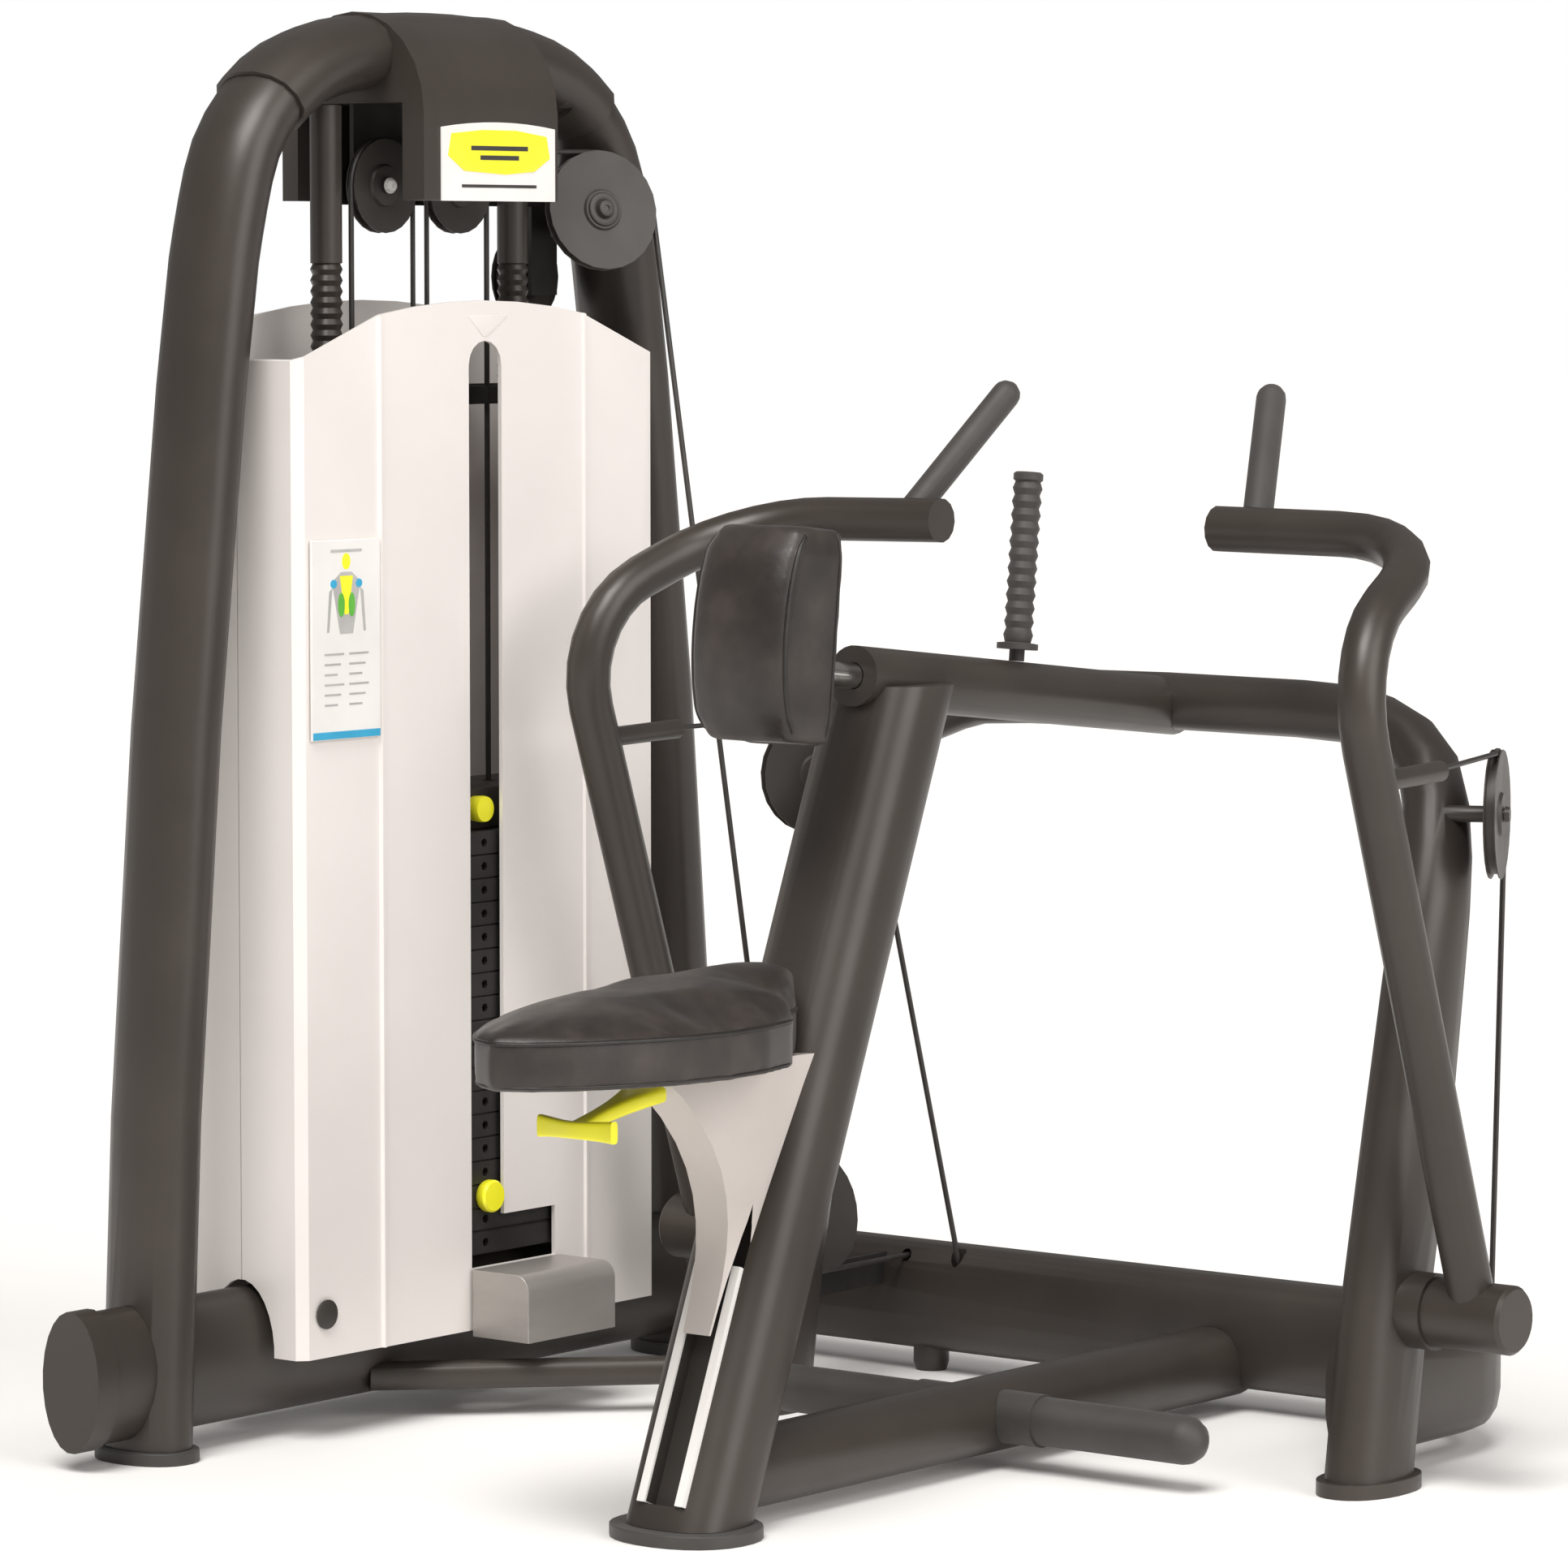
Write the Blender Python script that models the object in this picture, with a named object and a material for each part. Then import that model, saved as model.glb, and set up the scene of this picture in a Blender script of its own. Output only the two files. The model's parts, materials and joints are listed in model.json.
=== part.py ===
"""Seated row machine: a weight-stack tower, a seat with a chest pad and two pulling levers.

Metres, +Z up. +Y is where the user faces, +X is the user's right.
The mirror plane of the user's side is x = 0, through the seat post.
The last step moves everything so that the origin is under the middle of the machine.
"""
import math

import bmesh
import bpy
import numpy as np
from mathutils import Matrix, Vector

# Driving dimensions
TOWER_HEIGHT = 1.500     # floor to the top of the crown cover
TOWER_X = -0.700         # plane of the tower arch
TOWER_Y = 0.415          # middle of the tower
TOWER_SPREAD = 0.434     # half the distance between the tower's feet
LEG_SPREAD = 0.385       # half the distance between the front legs
FRONT_ARCH_HEIGHT = 0.767
LEVER_X = LEG_SPREAD + 0.104   # plane of each pulling lever
GRIP_HEIGHT = 0.9585     # level of the levers' top bars
HUB_Y, HUB_Z = 0.644, 0.182
SHROUD_TOP = TOWER_HEIGHT - 0.312
SHROUD_BEAD = 0.163      # distance of the shroud's raised beads from its middle
BELLOWS_FOOT = TOWER_HEIGHT - 0.400
STACK_PLATES = 18
RESTING_PLATES = 2
PLATE_PITCH = 0.0253
STACK_BASE = 0.1675
POST_LEAN = 0.4035       # horizontal run of the seat post for each unit of height
GAP = 0.0003             # clearance between pieces that touch
PIVOT_GAP = 0.0006       # clearance between pieces that slide or turn

# Section half sizes
ARCH_SECTION = (0.0525, 0.0350)
LEG_SECTION = (0.0575, 0.0366)
BAR_RADIUS = 0.0300
LEVER_RADIUS = 0.0235
POST_SECTION = (0.0600, 0.0535)
BEAM_SECTION = (0.0600, 0.0350)
BASE_SECTION = (0.0690, 0.0360)
CABLE_RADIUS = 0.0030
BIG_PULLEY = 0.0655
SMALL_PULLEY = 0.0500
GROOVE = 0.0050
AXLE_RADIUS = 0.0060

FRAME_COLOUR = (0.105, 0.090, 0.080)
SHROUD_COLOUR = (0.66, 0.63, 0.60)
BLACK = (0.022, 0.020, 0.019)
LEATHER = (0.065, 0.052, 0.047)
YELLOW = (0.93, 0.87, 0.03)
WHITE = (0.88, 0.87, 0.84)
STEEL = (0.62, 0.61, 0.60)

X, Y, Z = Vector((1, 0, 0)), Vector((0, 1, 0)), Vector((0, 0, 1))


def material(name, colour, roughness, metallic):
    """Return the Principled material of this name, made once."""
    found = bpy.data.materials.get(name)
    if found:
        return found
    made = bpy.data.materials.new(name)
    made.use_nodes = True
    shader = made.node_tree.nodes["Principled BSDF"]
    shader.inputs["Base Color"].default_value = (*colour, 1.0)
    shader.inputs["Roughness"].default_value = roughness
    shader.inputs["Metallic"].default_value = metallic
    return made


def frame_paint():
    return material("frame_paint", FRAME_COLOUR, 0.42, 0.35)


def shroud_sheet():
    return material("shroud_sheet", SHROUD_COLOUR, 0.45, 0.20)


def black_plastic():
    return material("black_plastic", BLACK, 0.50, 0.0)


def black_iron():
    return material("black_iron", (0.045, 0.042, 0.040), 0.55, 0.40)


def leather():
    return material("leather", LEATHER, 0.48, 0.0)


def yellow_plastic():
    return material("yellow_plastic", YELLOW, 0.38, 0.0)


def white_plastic():
    return material("white_plastic", WHITE, 0.40, 0.0)


def steel():
    return material("steel", STEEL, 0.28, 1.0)


def rubber():
    return material("rubber", (0.030, 0.028, 0.026), 0.75, 0.0)


def cable_black():
    return material("cable_black", (0.040, 0.038, 0.036), 0.60, 0.0)


# Building tools ------------------------------------------------------------------

def to_object(name, mesh_data, look, pivot=(0, 0, 0), sharp=35.0):
    """Turn a bmesh in world places into an object whose origin is at pivot."""
    bmesh.ops.remove_doubles(mesh_data, verts=mesh_data.verts, dist=0.00001)
    bmesh.ops.recalc_face_normals(mesh_data, faces=mesh_data.faces)
    bmesh.ops.translate(mesh_data, verts=mesh_data.verts, vec=-Vector(pivot))
    mesh = bpy.data.meshes.new(name)
    mesh_data.to_mesh(mesh)
    mesh_data.free()
    mesh.shade_smooth()
    mesh.set_sharp_from_angle(angle=math.radians(sharp))
    made = bpy.data.objects.new(name, mesh)
    made.location = pivot
    bpy.context.scene.collection.objects.link(made)
    if look:
        mesh.materials.append(look)
    return made


def combine(base, others, operation):
    """Apply an EXACT Boolean with each of the other objects, then remove them."""
    for other in others:
        modifier = base.modifiers.new("combine", "BOOLEAN")
        modifier.operation = operation
        modifier.solver = "EXACT"
        modifier.object = other
        bpy.context.view_layer.update()
        graph = bpy.context.evaluated_depsgraph_get()
        result = bpy.data.meshes.new_from_object(base.evaluated_get(graph))
        base.modifiers.clear()
        old = base.data
        look = old.materials[0] if old.materials else None
        base.data = result
        result.materials.clear()
        if look:
            result.materials.append(look)
        result.shade_smooth()
        result.set_sharp_from_angle(angle=math.radians(35.0))
        bpy.data.objects.remove(other)
    return base


def join(base, *others):
    return combine(base, others, "UNION")


def cut(base, *others):
    return combine(base, others, "DIFFERENCE")


def fillet(corners, radii, steps=5):
    """Return the corner list as points, each inner corner rounded by an arc of its radius."""
    corners = [Vector(corner) for corner in corners]
    points = [corners[0]]
    for index in range(1, len(corners) - 1):
        corner = corners[index]
        back = (corners[index - 1] - corner).normalized()
        ahead = (corners[index + 1] - corner).normalized()
        half = back.angle(ahead) / 2
        reach = radii[index - 1] / math.tan(half)
        middle = corner + (back + ahead).normalized() * (radii[index - 1] / math.sin(half))
        start, end = corner + back * reach - middle, corner + ahead * reach - middle
        turn = start.angle(end)
        for step in range(steps + 1):
            part = step / steps
            mix = start * math.sin((1 - part) * turn) + end * math.sin(part * turn)
            points.append(middle + mix / math.sin(turn))
    points.append(corners[-1])
    return points


def smooth_path(points, steps):
    """Return a Catmull-Rom curve through the points."""
    points = [Vector(point) for point in points]
    padded = [points[0] * 2 - points[1]] + points + [points[-1] * 2 - points[-2]]
    curve = []
    for a, b, c, d in zip(padded, padded[1:], padded[2:], padded[3:]):
        for step in range(steps):
            t = step / steps
            curve.append((b * 2 + (c - a) * t + (a * 2 - b * 5 + c * 4 - d) * t * t
                          + (b * 3 - a - c * 3 + d) * t ** 3) * 0.5)
    curve.append(points[-1])
    return curve


def ring_of(sides, power):
    """Unit superellipse outline: power 2 is an ellipse, more is squarer."""
    outline = []
    for index in range(sides):
        angle = 2 * math.pi * (index + 0.5) / sides
        c, s = math.cos(angle), math.sin(angle)
        outline.append((math.copysign(abs(c) ** (2 / power), c),
                        math.copysign(abs(s) ** (2 / power), s)))
    return outline


def sweep(path, sizes, across, sides=20, power=2.0, grow=0.0, rounded=(False, False),
          level=False):
    """Bmesh tube along path. sizes: one (half across, half other) or one for each point.
    level makes both ends horizontal instead of square to the path."""
    path = [Vector(point) for point in path]
    sizes = sizes if isinstance(sizes, list) else [sizes] * len(path)
    across = Vector(across)
    outline = ring_of(sides, power)
    tube = bmesh.new()
    rings = []

    def frame_at(index):
        ahead = path[min(index + 1, len(path) - 1)] - path[max(index - 1, 0)]
        ahead.normalize()
        wide = (across - ahead * across.dot(ahead)).normalized()
        return ahead, wide, ahead.cross(wide)

    def add_ring(index, centre, factor):
        _, wide, other = frame_at(index)
        a, b = (size + grow for size in sizes[index])
        rings.append([tube.verts.new(centre + wide * (u * a * factor) + other * (v * b * factor))
                      for u, v in outline])

    def dome(index, outward, order):
        for angle in order:
            size = min(sizes[index])
            centre = path[index] + outward * (size * math.sin(math.radians(angle)))
            add_ring(index, centre, math.cos(math.radians(angle)))

    if rounded[0]:
        dome(0, -frame_at(0)[0], (75, 45, 20))
    for index, point in enumerate(path):
        add_ring(index, point, 1.0)
    if rounded[1]:
        dome(len(path) - 1, frame_at(len(path) - 1)[0], (20, 45, 75))
    for ring, end in ((rings[0], 0), (rings[-1], len(path) - 1)) if level else ():
        ahead = frame_at(end)[0]
        for vertex in ring:
            vertex.co += ahead * ((path[end].z - vertex.co.z) / ahead.z)
    for low, high in zip(rings, rings[1:]):
        for index in range(sides):
            following = (index + 1) % sides
            tube.faces.new((low[index], low[following], high[following], high[index]))
    tube.faces.new(rings[0][::-1])
    tube.faces.new(rings[-1])
    return tube


def box(low, high, bevel=0.0, segments=2):
    """Bmesh box between two corners, its edges rounded by bevel."""
    low, high = Vector(low), Vector(high)
    made = bmesh.new()
    bmesh.ops.create_cube(made, size=1.0)
    bmesh.ops.scale(made, vec=high - low, verts=made.verts)
    bmesh.ops.translate(made, vec=(low + high) / 2, verts=made.verts)
    if bevel:
        bmesh.ops.bevel(made, geom=made.edges, offset=bevel, segments=segments, profile=0.5,
                        affect="EDGES")
    return made


def prism(outline, axis, low, high):
    """Bmesh prism: a closed outline in the plane across axis, from low to high along it."""
    made = bmesh.new()

    def place(pair, along):
        u, v = pair
        return {"X": (along, u, v), "Y": (u, along, v), "Z": (u, v, along)}[axis]

    base = [made.verts.new(place(pair, low)) for pair in outline]
    top = [made.verts.new(place(pair, high)) for pair in outline]
    made.faces.new(base)
    made.faces.new(top[::-1])
    for index in range(len(outline)):
        following = (index + 1) % len(outline)
        made.faces.new((base[index], top[index], top[following], base[following]))
    return made


def turned(profile, centre, axis, sides=24):
    """Bmesh solid of revolution. profile: (distance along axis, radius) pairs, closed at radius 0
    or, where it doesn't reach the axis, round a bore."""
    axis = Vector(axis).normalized()
    side = axis.orthogonal().normalized()
    other = axis.cross(side)
    made = bmesh.new()
    rings = []
    for along, radius in profile:
        middle = Vector(centre) + axis * along
        if radius == 0:
            rings.append([made.verts.new(middle)])
            continue
        rings.append([made.verts.new(middle + side * (radius * math.cos(angle))
                                     + other * (radius * math.sin(angle)))
                      for angle in (2 * math.pi * index / sides for index in range(sides))])
    closed = profile[0][1] > 0
    pairs = list(zip(rings, rings[1:])) + ([(rings[-1], rings[0])] if closed else [])
    for low, high in pairs:
        for index in range(sides):
            following = (index + 1) % sides
            if len(low) == 1:
                made.faces.new((low[0], high[following], high[index]))
            elif len(high) == 1:
                made.faces.new((low[index], low[following], high[0]))
            else:
                made.faces.new((low[index], low[following], high[following], high[index]))
    return made


def rod(start, end, radius, sides=16):
    """Bmesh cylinder between two points."""
    start, end = Vector(start), Vector(end)
    length = (end - start).length
    return turned([(0, 0), (0, radius), (length, radius), (length, 0)], start, end - start, sides)


def cutter(mesh_data):
    """A shape used only for a Boolean."""
    made = to_object("cutter", mesh_data, None)
    made.hide_render = True
    made.display_type = "WIRE"
    return made


# Paths that several pieces share --------------------------------------------------

def tower_half_spread(height):
    """Half the distance between the tower legs' centre lines at a height."""
    shares = [0.0, 0.1, 0.2333, 0.3667, 0.5, 0.6133, 0.7333, 0.82]
    shrink = [0.0, 0.006, 0.017, 0.032, 0.051, 0.072, 0.092, 0.112]
    return TOWER_SPREAD - float(np.interp(height / TOWER_HEIGHT, shares, shrink))


def tower_path():
    """Centre line of the tower arch, from the foot near the user's back to the far foot."""
    top = TOWER_HEIGHT - 0.047
    levels = [0.0135] + [TOWER_HEIGHT * share for share in (0.2333, 0.5, 0.7333, 0.82)]
    legs = [(tower_half_spread(z), z) for z in levels]
    bend = [(0.308, top - 0.165), (0.288, top - 0.108), (0.250, top - 0.060),
            (0.200, top - 0.028), (0.140, top - 0.010), (0.070, top - 0.002)]
    half = legs[-1:] + bend
    arch = [(TOWER_X, TOWER_Y - y, z) for y, z in half]
    arch.append((TOWER_X, TOWER_Y, top))
    arch += [(TOWER_X, TOWER_Y + y, z) for y, z in reversed(half)]
    near = [Vector((TOWER_X, TOWER_Y - y, z)) for y, z in legs[:-1]]
    far = [Vector((TOWER_X, TOWER_Y + y, z)) for y, z in reversed(legs[:-1])]
    return near + smooth_path(arch, 2) + far


def front_arch_path():
    """Centre line of the front arch, from the right foot over the top to the left foot."""
    height = FRONT_ARCH_HEIGHT
    leg = [Vector((LEG_SPREAD, 0.612, 0.0135)), Vector((LEG_SPREAD, 0.634, 0.160)),
           Vector((LEG_SPREAD, 0.678, 0.360))]
    bend = [(LEG_SPREAD, 0.709, 0.525), (LEG_SPREAD - 0.008, 0.741, 0.630),
            (LEG_SPREAD - 0.044, 0.780, 0.715), (LEG_SPREAD - 0.112, 0.798, height - 0.012),
            (LEG_SPREAD - 0.213, 0.800, height)]
    arch = smooth_path(bend + [(-x, y, z) for x, y, z in reversed(bend)], 2)
    return leg + arch + [Vector((-x, y, z)) for x, y, z in reversed(leg)]


def front_arch_sizes(path):
    """The legs are long ovals that become a round bar over the top."""
    sizes = []
    for point in path:
        part = float(np.interp(point.z, (0.45, 0.74), (0.0, 1.0)))
        sizes.append((LEG_SECTION[0] * (1 - part) + BAR_RADIUS * part,
                      LEG_SECTION[1] * (1 - part) + BAR_RADIUS * part))
    return sizes


def front_arch_mesh(grow=0.0):
    path = front_arch_path()
    return sweep(path, front_arch_sizes(path), Y, sides=16, power=2.2, grow=grow, level=True)


def tower_mesh(grow=0.0):
    return sweep(tower_path(), ARCH_SECTION, X, sides=16, power=2.2, grow=grow, level=True)


def base_tube_mesh(grow=0.0):
    z = BASE_SECTION[0] + 0.024
    ends = [(TOWER_X, -0.112, z), (TOWER_X, 0.942, z)]
    return sweep(ends, BASE_SECTION, Z, sides=24, grow=grow)


def post_point(height, forward=0.0):
    return Vector((0, POST_LEAN * height + forward, height))


def post_mesh(grow=0.0, low=0.0135, high=0.81):
    ends = [post_point(low), post_point(high)]
    lean = math.cos(math.atan(POST_LEAN))
    section = (POST_SECTION[0], POST_SECTION[1] * lean)
    return sweep(ends, section, X, sides=32, power=2.6, grow=grow, level=True)


PAD_TUBE_START = Vector((0, 0.262, 0.8205))
PAD_TUBE_AXIS = Vector((0, 1, -0.106)).normalized()
PAD_TUBE_RADIUS = 0.0305


def pad_tube_mesh(grow=0.0):
    ends = [PAD_TUBE_START, PAD_TUBE_START + PAD_TUBE_AXIS * 0.555]
    return sweep(ends, (PAD_TUBE_RADIUS, PAD_TUBE_RADIUS), X, sides=24, grow=grow)


BEAM_Y, BEAM_Z = 0.925, 0.084
BEAM_END_X = 0.345
CABLE_ENTRY = Vector((0.345, 0.902, 0.1270))


def beam_mesh(grow=0.0):
    """The cross-beam runs from the tower and turns back to meet the right leg."""
    path = fillet([(BEAM_END_X, 0.645, BEAM_Z), (BEAM_END_X, BEAM_Y, BEAM_Z),
                   (TOWER_X + 0.010, BEAM_Y, BEAM_Z)], [0.095], steps=6)
    return sweep(path, BEAM_SECTION, Z, sides=16, power=3.0, grow=grow)


FLOOR_TUBE_SIZE = (0.0390, 0.0375)
FLOOR_TUBE_Z = 0.0525


def floor_tube_mesh(grow=0.0):
    ends = [(0, 0.020, FLOOR_TUBE_Z), (0, BEAM_Y, FLOOR_TUBE_Z)]
    return sweep(ends, FLOOR_TUBE_SIZE, Z, sides=24, power=2.2, grow=grow)


def lever_path(side):
    """Hub, straight arm, knee and top bar of one lever; side is +1 right or -1 left."""
    corners = [(LEVER_X, HUB_Y, HUB_Z), (LEVER_X - 0.002, 0.408, 0.856),
               (LEVER_X - 0.049, 0.641, GRIP_HEIGHT - 0.003), (0.175, 0.641, GRIP_HEIGHT)]
    corners = [(side * x, y, z) for x, y, z in corners]
    return fillet(corners, [0.110, 0.140], steps=7)


def lever_tube_mesh(side, grow=0.0):
    size = (LEVER_RADIUS, LEVER_RADIUS)
    path = lever_path(side)
    tube = bmesh.new()
    rings = []
    axis_x = Vector((side, 0, 0))
    wide = None
    for index, point in enumerate(path):
        ahead = (path[min(index + 1, len(path) - 1)] - path[max(index - 1, 0)]).normalized()
        wide = axis_x if wide is None else wide
        wide = (wide - ahead * wide.dot(ahead)).normalized()
        other = ahead.cross(wide)
        rings.append([tube.verts.new(point + wide * (u * (size[0] + grow))
                                     + other * (v * (size[1] + grow)))
                      for u, v in ring_of(14, 2.0)])
    for low, high in zip(rings, rings[1:]):
        for index in range(14):
            following = (index + 1) % 14
            tube.faces.new((low[index], low[following], high[following], high[index]))
    tube.faces.new(rings[0][::-1])
    tube.faces.new(rings[-1])
    return tube


# The tower -------------------------------------------------------------------------

def foot_plate(name, x, y, half_x, half_y):
    """Oval plate of rubber under a leg."""
    outline = [(x + half_x * u, y + half_y * v) for u, v in ring_of(28, 2.2)]
    plate = prism(outline, "Z", 0.0, 0.0130)
    return to_object(name, plate, rubber())


def tower_arch():
    arch = to_object("tower_arch", tower_mesh(), frame_paint())
    block = box((TOWER_X - 0.014, TOWER_Y + 0.230, TOWER_HEIGHT - 0.244),
                (TOWER_X + 0.014, TOWER_Y + 0.300, TOWER_HEIGHT - 0.214))
    join(arch, to_object("block", block, None))
    join(arch, to_object("axle", axle_mesh(CORNER_PULLEY, CORNER_AXIS, -0.060, 0.0085), None))
    return cut(arch, cutter(base_tube_mesh(GAP)))


def base_cap_meshes(grow=0.0):
    """The thick caps on the ends of the base tube."""
    z = BASE_SECTION[0] + 0.024
    spans = [(-0.130 - grow, -0.100 + grow), (0.930 - grow, 0.960 + grow)]
    return [sweep([(TOWER_X, start, z), (TOWER_X, end, z)],
                  (BASE_SECTION[0] + 0.004, BASE_SECTION[1] + 0.0035), Z, sides=24, grow=grow)
            for start, end in spans]


def base_tube():
    """Tall oval tube along the floor with a thick cap on each end."""
    tube = to_object("base_tube", base_tube_mesh(), frame_paint())
    for cap in base_cap_meshes():
        join(tube, to_object("cap", cap, None))
    return cut(tube, *tail_holes(0.146, 0.300, 0.0070))


def crown_cover():
    """Moulded cover: a sleeve round the top of the arch and a hood over the pulleys."""
    path = [point for point in tower_path() if abs(point.y - TOWER_Y) < 0.255]
    sleeve = sweep(path, (ARCH_SECTION[0] + 0.0050, ARCH_SECTION[1] + 0.0050), X, sides=16,
                   power=2.2)
    cover = to_object("crown_cover", sleeve, frame_paint())
    depth, rise, bottom = 0.100, 0.106, TOWER_HEIGHT - 0.207
    profile = [(TOWER_X - depth, bottom), (TOWER_X + depth, bottom)]
    for step in range(13):
        angle = math.pi * step / 12
        profile.append((TOWER_X + depth * math.cos(angle),
                        TOWER_HEIGHT - 0.009 - rise + rise * math.sin(angle)))
    hood = to_object("hood", prism(profile, "Y", TOWER_Y - 0.108, TOWER_Y + 0.108), None)
    join(cover, hood)
    hollow = box((TOWER_X - depth + 0.022, TOWER_Y - 0.2, 1.0),
                 (TOWER_X + depth - 0.030, TOWER_Y + 0.2, TOWER_HEIGHT - 0.105))
    cut(cover, cutter(hollow), cutter(tower_mesh(0.0005)))
    reach = CORNER_AXIS * 0.0110
    relief = rod(CORNER_PULLEY - reach, CORNER_PULLEY + reach, BIG_PULLEY + 0.0050, 24)
    return cut(cover, cutter(relief), *(cutter(shape) for shape in bracket_shapes(0.0005)))


def badge_plate():
    """Plain name plate with an arched top on the front of the hood."""
    half, bottom = 0.1045, TOWER_HEIGHT - 0.2075
    outline = [(TOWER_Y + 0.012 - half + 0.010, bottom), (TOWER_Y + 0.012 + half - 0.016, bottom)]
    for step in range(9):
        part = 1 - step / 4
        y = TOWER_Y + 0.009 + (half - 0.013) * part
        outline.append((y, bottom + 0.083 - 0.006 * part * part))
    front = TOWER_X + 0.100
    plate = prism(outline, "X", front + GAP, front + 0.0028)
    return to_object("badge_plate", plate, white_plastic())


def shroud_top(offset):
    """Height of a shroud's arched top edge at a distance from its middle."""
    offset = abs(offset)
    if offset > SHROUD_BEAD:
        return SHROUD_TOP - 0.014 - 0.047 * (offset - SHROUD_BEAD) / 0.127
    return SHROUD_TOP - 0.014 * (offset / SHROUD_BEAD) ** 2


def shroud_shell(name, facing):
    """One half of the weight-stack housing; facing +1 is the front half, -1 the rear one."""
    half, depth, wall = 0.290, 0.088, 0.004
    bead, rise = SHROUD_BEAD, 0.0025
    outer = [(-half, 0.0008), (-half, depth - 0.012), (-half + 0.010, depth - 0.002)]
    outer += [(-bead - 0.0055, depth - 0.001), (-bead - 0.0035, depth + rise),
              (-bead - 0.0005, depth + rise), (-bead + 0.0015, depth)]
    outer += [(-y, x) for y, x in reversed(outer)]
    inner = [(half - wall, 0.0008), (half - wall, depth - wall - 0.010),
             (half - 0.013, depth - wall - 0.001), (-half + 0.013, depth - wall - 0.001),
             (-half + wall, depth - wall - 0.010), (-half + wall, 0.0008)]
    outline = [(TOWER_X + facing * x, TOWER_Y + y) for y, x in outer + inner]
    shell = to_object(name, prism(outline, "Z", 0.090, 1.25), shroud_sheet())
    steps = [-half - 0.01, -half, -0.163, -0.11, -0.055, 0, 0.055, 0.11, 0.163, half, half + 0.01]
    top = [(TOWER_Y + y, shroud_top(y)) for y in steps]
    top += [(TOWER_Y + half + 0.01, 1.30), (TOWER_Y - half - 0.01, 1.30)]
    cut(shell, cutter(prism(top, "X", TOWER_X - 0.2, TOWER_X + 0.2)))
    notch_ends = [(TOWER_X, TOWER_Y - 0.5, 0.093), (TOWER_X, TOWER_Y + 0.5, 0.093)]
    notch = sweep(notch_ends, (BASE_SECTION[0] + 0.007, BASE_SECTION[1] + 0.010), Z, sides=28)
    return cut(shell, cutter(notch))


def front_shroud():
    """Front housing with the long selector slot and the cut-out at its foot."""
    shell = shroud_shell("front_shroud", 1)
    half, low, high = 0.0265, 0.156, 1.119
    middle = TOWER_Y + 0.002
    slot = [(middle - half, low), (middle + half, low)]
    for step in range(9):
        angle = math.pi * step / 8
        slot.append((middle + half * math.cos(angle), high + half * math.sin(angle)))
    cut(shell, cutter(prism(slot, "X", TOWER_X + 0.03, TOWER_X + 0.2)))
    foot = box((TOWER_X + 0.03, TOWER_Y + 0.01, low), (TOWER_X + 0.2, TOWER_Y + 0.113, 0.210))
    return cut(shell, cutter(foot))


def rear_shroud():
    return shroud_shell("rear_shroud", -1)


def placard():
    """Exercise placard on the front housing, left blank."""
    front = TOWER_X + 0.0875
    plate = box((front + GAP, TOWER_Y - 0.275, 0.735), (front + 0.0033, TOWER_Y - 0.1695, 0.942))
    return to_object("placard", plate, white_plastic())


def shroud_plug():
    centre = (TOWER_X + 0.0875, TOWER_Y - 0.255, 0.136)
    plug = turned([(GAP, 0), (GAP, 0.0155), (0.0022, 0.0155), (0.0034, 0.0125), (0.0034, 0)],
                  centre, X)
    return to_object("shroud_plug", plug, black_plastic())


def step_block():
    """Pale round-topped block at the foot of the front housing."""
    low, high = (TOWER_X + 0.0918, TOWER_Y - 0.028, 0.084), (TOWER_X + 0.170, TOWER_Y + 0.116, 0.156)
    radius = 0.018
    profile = [(low[0], low[2]), (high[0], low[2])]
    for step in range(7):
        angle = math.radians(15 * step)
        profile.append((high[0] - radius + radius * math.cos(angle),
                        high[2] - radius + radius * math.sin(angle)))
    profile.append((low[0], high[2]))
    return to_object("step_block", prism(profile, "Y", low[1], high[1]), shroud_sheet())


ROD_SPACING = 0.150
SELECTOR_Y = TOWER_Y + 0.010


def guide_rod(name, side):
    """Guide rod with its top sleeve and the ribbed rubber stop under the sleeve."""
    base, top = STACK_BASE - 0.0025, TOWER_HEIGHT - 0.1080
    foot, rib, ribs = BELLOWS_FOOT - base, 0.0115, 11
    profile = [(0, 0), (0, 0.0100), (foot, 0.0100), (foot, 0.0150)]
    for index in range(ribs):
        start = foot + rib * index
        profile += [(start + rib * 0.5, 0.0172), (start + rib, 0.0146)]
    sleeve = foot + rib * ribs
    profile += [(sleeve + 0.001, 0.0168), (top - base, 0.0168), (top - base, 0)]
    centre = (TOWER_X, TOWER_Y + side * ROD_SPACING, base)
    return to_object(name, turned(profile, centre, Z, sides=12), frame_paint())


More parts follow.
